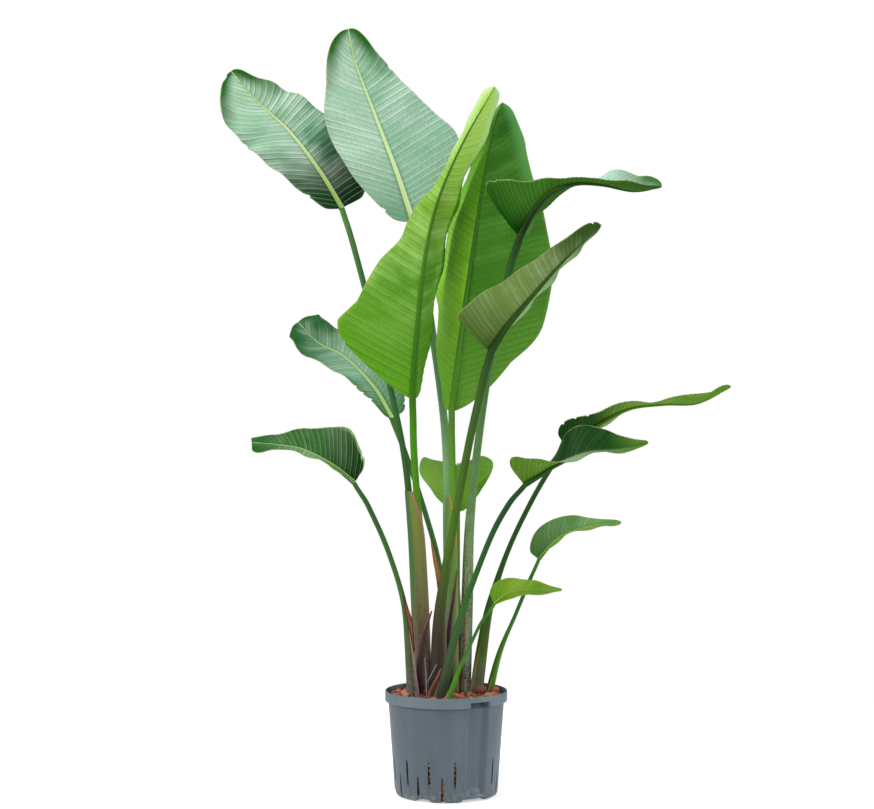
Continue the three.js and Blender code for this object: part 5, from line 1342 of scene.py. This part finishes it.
def pebblePiece():
    rng = random.Random(pebbles["seed"])
    bm = bmesh.new()
    toneMap = bm.loops.layers.uv.new("toneMap")
    # the bed keeps tone 0, the ramp's darkest stop, as painted shade between the pebbles
    toneOf = bm.verts.layers.float.new("tone")     # stays 0 on the bed

    def addPebble(place, size):
        made = bmesh.ops.create_icosphere(bm, subdivisions=2, radius=1)
        stretch = Vector((rng.uniform(0.85, 1.2), rng.uniform(0.85, 1.15), rng.uniform(0.75, 1.0)))
        seed = rng.uniform(0, 90)
        turn = rng.uniform(0, math.pi)
        tone = rng.uniform(0.03, 1.0)
        for vert in made["verts"]:
            lump = 1 + 0.16 * noise.noise(vert.co * 1.4 + Vector((seed, 0, 0)))
            lump += 0.06 * noise.noise(vert.co * 4 + Vector((0, seed, 0)))
            p = Vector((vert.co.x * stretch.x, vert.co.y * stretch.y, vert.co.z * stretch.z)) * lump * size
            p = Vector((p.x * math.cos(turn) - p.y * math.sin(turn),
                        p.x * math.sin(turn) + p.y * math.cos(turn), p.z))
            vert.co = (Vector(place) + p) * mm
            vert[toneOf] = tone

    def inStalk(x, y, room):
        for leaf in leaves.values():
            core, size = centreAt(leaf, pebbles["top"])
            if math.hypot(x - core.x, y - core.y) < size + room:
                return True
        return False

    placed = [(Vector(place), size) for place, size in pebbles["big"]]
    limit = potWall(pebbles["top"]) - pot["wall"]
    for level, count, spacing in pebbles["levels"]:
        for _ in range(count):
            size = rng.uniform(*pebbles["size"])
            away = (limit - size) * math.sqrt(rng.random())
            turn = rng.uniform(0, 2 * math.pi)
            x, y = away * math.cos(turn), away * math.sin(turn)
            angle = math.degrees(turn) + 90
            if away > limit - size - channelPull(angle, 160, pot["notchTop"]) - 1:
                continue
            if inStalk(x, y, size * pebbles["stalkRoom"]):
                continue
            z = level + rng.uniform(*pebbles["drift"])
            here = Vector((x, y, z))
            if all((here - other).length > (size + otherSize) * spacing / 2 for other, otherSize in placed):
                placed.append((here, size))
    topCount = len(placed)
    # pebbles that show through the slots
    for row, (lowest, ceiling, step, gap, drift) in pebbles["slotRows"].items():
        for angle in pot[row + "Slots"]:
            for level in range(lowest, ceiling, step):
                size = rng.uniform(*pebbles["slotSize"])
                turn = math.radians(angle + rng.uniform(-1.5, 1.5))
                away = potWall(level) - pot["wall"] - size - gap
                away -= channelPull(angle, level, pebbles["channelTop"])
                height = level + rng.uniform(*drift)
                placed.append((Vector((away * math.sin(turn), -away * math.cos(turn), height)), size))
    for place, size in placed:
        addPebble(place, size)
    # filled bed behind and below them, painted dark as the shade in the gaps between pebbles
    gap = pebbles["bedGap"]
    profile = [(0, 4), (80, 4), (83, 10), (potWall(40) - gap, 40), (potWall(150) - gap, 150), (90, 162),
               (60, 165), (0, 165)]
    verts = [bm.verts.new((radius * mm, 0, level * mm)) for radius, level in profile]
    edges = [bm.edges.new(pair) for pair in zip(verts, verts[1:])]
    bmesh.ops.spin(bm, geom=verts + edges, cent=(0, 0, 0), axis=(0, 0, 1), angle=2 * math.pi,
                   steps=64, use_merge=True)
    bed = [vert for vert in bm.verts if vert[toneOf] == 0]
    bmesh.ops.remove_doubles(bm, verts=bed, dist=1e-6)
    bed = [vert for vert in bm.verts if vert[toneOf] == 0]
    for vert in bed:
        radius = math.hypot(vert.co.x, vert.co.y)
        if radius > 0.07:
            angle = math.degrees(math.atan2(vert.co.x, -vert.co.y))
            shrink = 1 - channelPull(angle, 100, pebbles["channelTop"]) * mm / radius
            vert.co.x *= shrink
            vert.co.y *= shrink
    bmesh.ops.recalc_face_normals(bm, faces=[face for face in bm.faces if face.verts[0][toneOf] == 0])
    for face in bm.faces:
        for loop in face.loops:
            loop[toneMap].uv = (loop.vert[toneOf], 0.5)
    print("pebbles:", topCount, "on top,", len(placed), "in all")
    finishPiece(bm, "clayPebbles", [makeFiredClay()], "clay_pebbles")


pebblePiece()

# rootstock: knobbly rhizome with an arm under each stalk and fleshy roots, hidden in the bed. feet:
# height of the stalks' feet; thick: a root's radius at its start and end; grids: points round and along
roots = {"middle": 6, "level": 118, "knob": (42, 38, 19), "feet": 148, "count": 9, "thick": (6.5, 1.6),
         "armFoot": 12, "armGrid": (14, 8), "rootGrid": (12, 16), "reach": 40, "drop": 95}


def makeRootCork():
    # fleshy root under a thin corky skin: pale ochre, cloudy and matt
    material, tree = newMaterial("fleshyRoot")
    spot = addNode(tree, "ShaderNodeTexCoord")
    cloud = addNode(tree, "ShaderNodeTexNoise", {"Scale": 120.0, "Detail": 4.0},
                    {"Vector": spot.outputs["Object"]})
    body = addNode(tree, "ShaderNodeValToRGB",
                   {"stops": [(0.3, "#a98a5c"), (0.5, "#c9b48c"), (0.75, "#dccba4")]}, {0: cloud.outputs[0]})
    bump = addNode(tree, "ShaderNodeBump", {"Strength": 0.6, "Distance": 0.0008},
                   {"Height": cloud.outputs[0]})
    skin = addNode(tree, "ShaderNodeBsdfPrincipled", {"IOR": 1.45, "Roughness": 0.8},
                   {"Base Color": body.outputs[0], "Normal": bump.outputs[0]})
    addNode(tree, "ShaderNodeOutputMaterial", links={0: skin.outputs[0]})
    return material


def rootPiece():
    bm = bmesh.new()
    made = bmesh.ops.create_icosphere(bm, subdivisions=4, radius=1)
    long, wide, high = roots["knob"]
    for vert in made["verts"]:
        lump = 1 + 0.14 * noise.noise(vert.co * 2.2)
        vert.co = Vector((roots["middle"] + long * vert.co.x * lump, wide * vert.co.y * lump,
                          roots["level"] + high * vert.co.z * lump)) * mm

    def addTube(course, sizes, sides, rings):
        # grid rolled up: x goes round, y goes along
        made = bmesh.ops.create_grid(bm, x_segments=sides, y_segments=rings, size=1)
        for vert in made["verts"]:
            turn, s = vert.co.x * math.pi, (vert.co.y + 1) / 2
            forward = curveTangent(course, s)
            across = forward.cross(Vector((0, 0, 1)) if abs(forward.z) < 0.95 else Vector((1, 0, 0)))
            across.normalize()
            other = forward.cross(across)
            radius = mix(*sizes, s) * (1 + 0.12 * noise.noise(Vector((s * 14, sizes[0], math.cos(turn)))))
            aside = across * math.cos(turn) + other * math.sin(turn)
            vert.co = (curveAt(course, s) + aside * radius) * mm

    for leaf in leaves.values():
        foot = leaf["route"][0]
        course = makeCurve([(foot[0] * 0.45, foot[1] * 0.45, roots["level"]),
                            (foot[0] * 0.8, foot[1] * 0.8, roots["level"] + 14),
                            (foot[0], foot[1], roots["feet"] - 2.8)])
        addTube(course, (roots["armFoot"], leaf["radius"][0] - 0.5), *roots["armGrid"])
    for i in range(roots["count"]):
        turn = 2 * math.pi * i / roots["count"] + 0.3
        reach = roots["reach"] + 9 * (i % 3)
        points = []
        for s in (0, 0.3, 0.6, 1):
            away = 14 + reach * math.sin(math.pi / 2 * s)
            angle = turn + 0.5 * s
            points.append((roots["middle"] + away * math.cos(angle), away * math.sin(angle),
                           roots["level"] - roots["drop"] * s ** 1.3))
        addTube(makeCurve(points), roots["thick"], *roots["rootGrid"])
    closeTube(bm)
    finishPiece(bm, "rootStock", [makeRootCork()], "rootstock")


rootPiece()
print("bed and roots made")

# floor and studio light. floor: radius in metres; fade: where it starts to fade and has faded; glow:
# how strongly it shines; around: strength of the room's light
stage = {"floor": 1.7, "fade": (0.45, 1.5), "glow": 0.42, "around": 0.46}
floorBm = bmesh.new()
bmesh.ops.create_circle(floorBm, cap_ends=True, segments=64, radius=stage["floor"])
floorMesh = bpy.data.meshes.new("floor")
floorBm.to_mesh(floorMesh)
floorBm.free()
# matt white studio paint with a faint glow, so the floor stays as white as the paper behind
floorPaint, floorTree = newMaterial("matFloorPaint")
floorSpot = addNode(floorTree, "ShaderNodeTexCoord")
floorAway = addNode(floorTree, "ShaderNodeVectorMath", {"operation": "LENGTH"},
                    {0: floorSpot.outputs["Object"]})
floorFade = addNode(floorTree, "ShaderNodeMapRange",
                    {"interpolation_type": "SMOOTHSTEP", "From Min": stage["fade"][1],
                     "From Max": stage["fade"][0]}, {0: floorAway.outputs["Value"]})
floorSkin = addNode(floorTree, "ShaderNodeBsdfPrincipled",
                    {"Base Color": "#f4f4f3", "Roughness": 0.9, "Specular IOR Level": 0.1,
                     "Emission Color": "#ffffff", "Emission Strength": stage["glow"]},
                    {"Alpha": floorFade.outputs[0]})
addNode(floorTree, "ShaderNodeOutputMaterial", links={0: floorSkin.outputs[0]})
floorMesh.materials.append(floorPaint)
floor = bpy.data.objects.new("floor", floorMesh)
scene.collection.objects.link(floor)

world = bpy.data.worlds.new("studio")
world.use_nodes = True
world.node_tree.nodes.clear()
# white paper behind, seen by the camera only; the room itself is dimmer, and darker to the right
seen = addNode(world.node_tree, "ShaderNodeLightPath")
paper = addNode(world.node_tree, "ShaderNodeBackground", {0: "#ffffff", 1: 1.0})
heading = addNode(world.node_tree, "ShaderNodeTexCoord")
tilted = addNode(world.node_tree, "ShaderNodeVectorMath",
                 {"operation": "DOT_PRODUCT", 1: (-0.55, -0.25, 0.8)}, {0: heading.outputs["Generated"]})
roomTone = addNode(world.node_tree, "ShaderNodeMapRange",
                   {"From Min": -1.0, "From Max": 1.0, "To Min": stage["around"] * 0.55,
                    "To Max": stage["around"] * 1.6}, {0: tilted.outputs["Value"]})
room = addNode(world.node_tree, "ShaderNodeBackground", {0: "#f6faff"}, {1: roomTone.outputs[0]})
air = addNode(world.node_tree, "ShaderNodeMixShader", links={0: seen.outputs["Is Camera Ray"],
                                                             1: room.outputs[0], 2: paper.outputs[0]})
addNode(world.node_tree, "ShaderNodeOutputWorld", links={0: air.outputs[0]})
scene.world = world
scene.view_settings.view_transform = "Standard"

# soft lamps, warm from the left and cooler from the right: metres and watts
lamps = {
    "softKey": {"place": (-2.4, -2.0, 2.8), "aim": (0, 0, 0.8), "size": 1.4, "power": 84, "tone": "#fff9ee"},
    "topLight": {"place": (0.2, 0.6, 3.5), "aim": (0, 0, 0.8), "size": 1.8, "power": 36, "tone": "#f4f9ff"},
    "sideFill": {"place": (2.7, -0.2, 0.9), "aim": (0, 0, 0.5), "size": 1.2, "power": 38, "tone": "#f8fbff"},
    "frontFill": {"place": (-0.8, -3.3, 1), "aim": (0, 0, 0.8), "size": 1.8, "power": 16, "tone": "#ffffff"},
}
for name, lamp in lamps.items():
    light = bpy.data.lights.new(name, "AREA")
    light.shape = "DISK"
    light.size = lamp["size"]
    light.energy = lamp["power"]
    light.color = toLinear(lamp["tone"])[:3]
    holder = bpy.data.objects.new(name, light)
    holder.location = lamp["place"]
    aim = Vector(lamp["aim"]) - Vector(lamp["place"])
    holder.rotation_euler = aim.to_track_quat("-Z", "Y").to_euler()
    holder.visible_camera = False
    scene.collection.objects.link(holder)
print("stage and lights made")
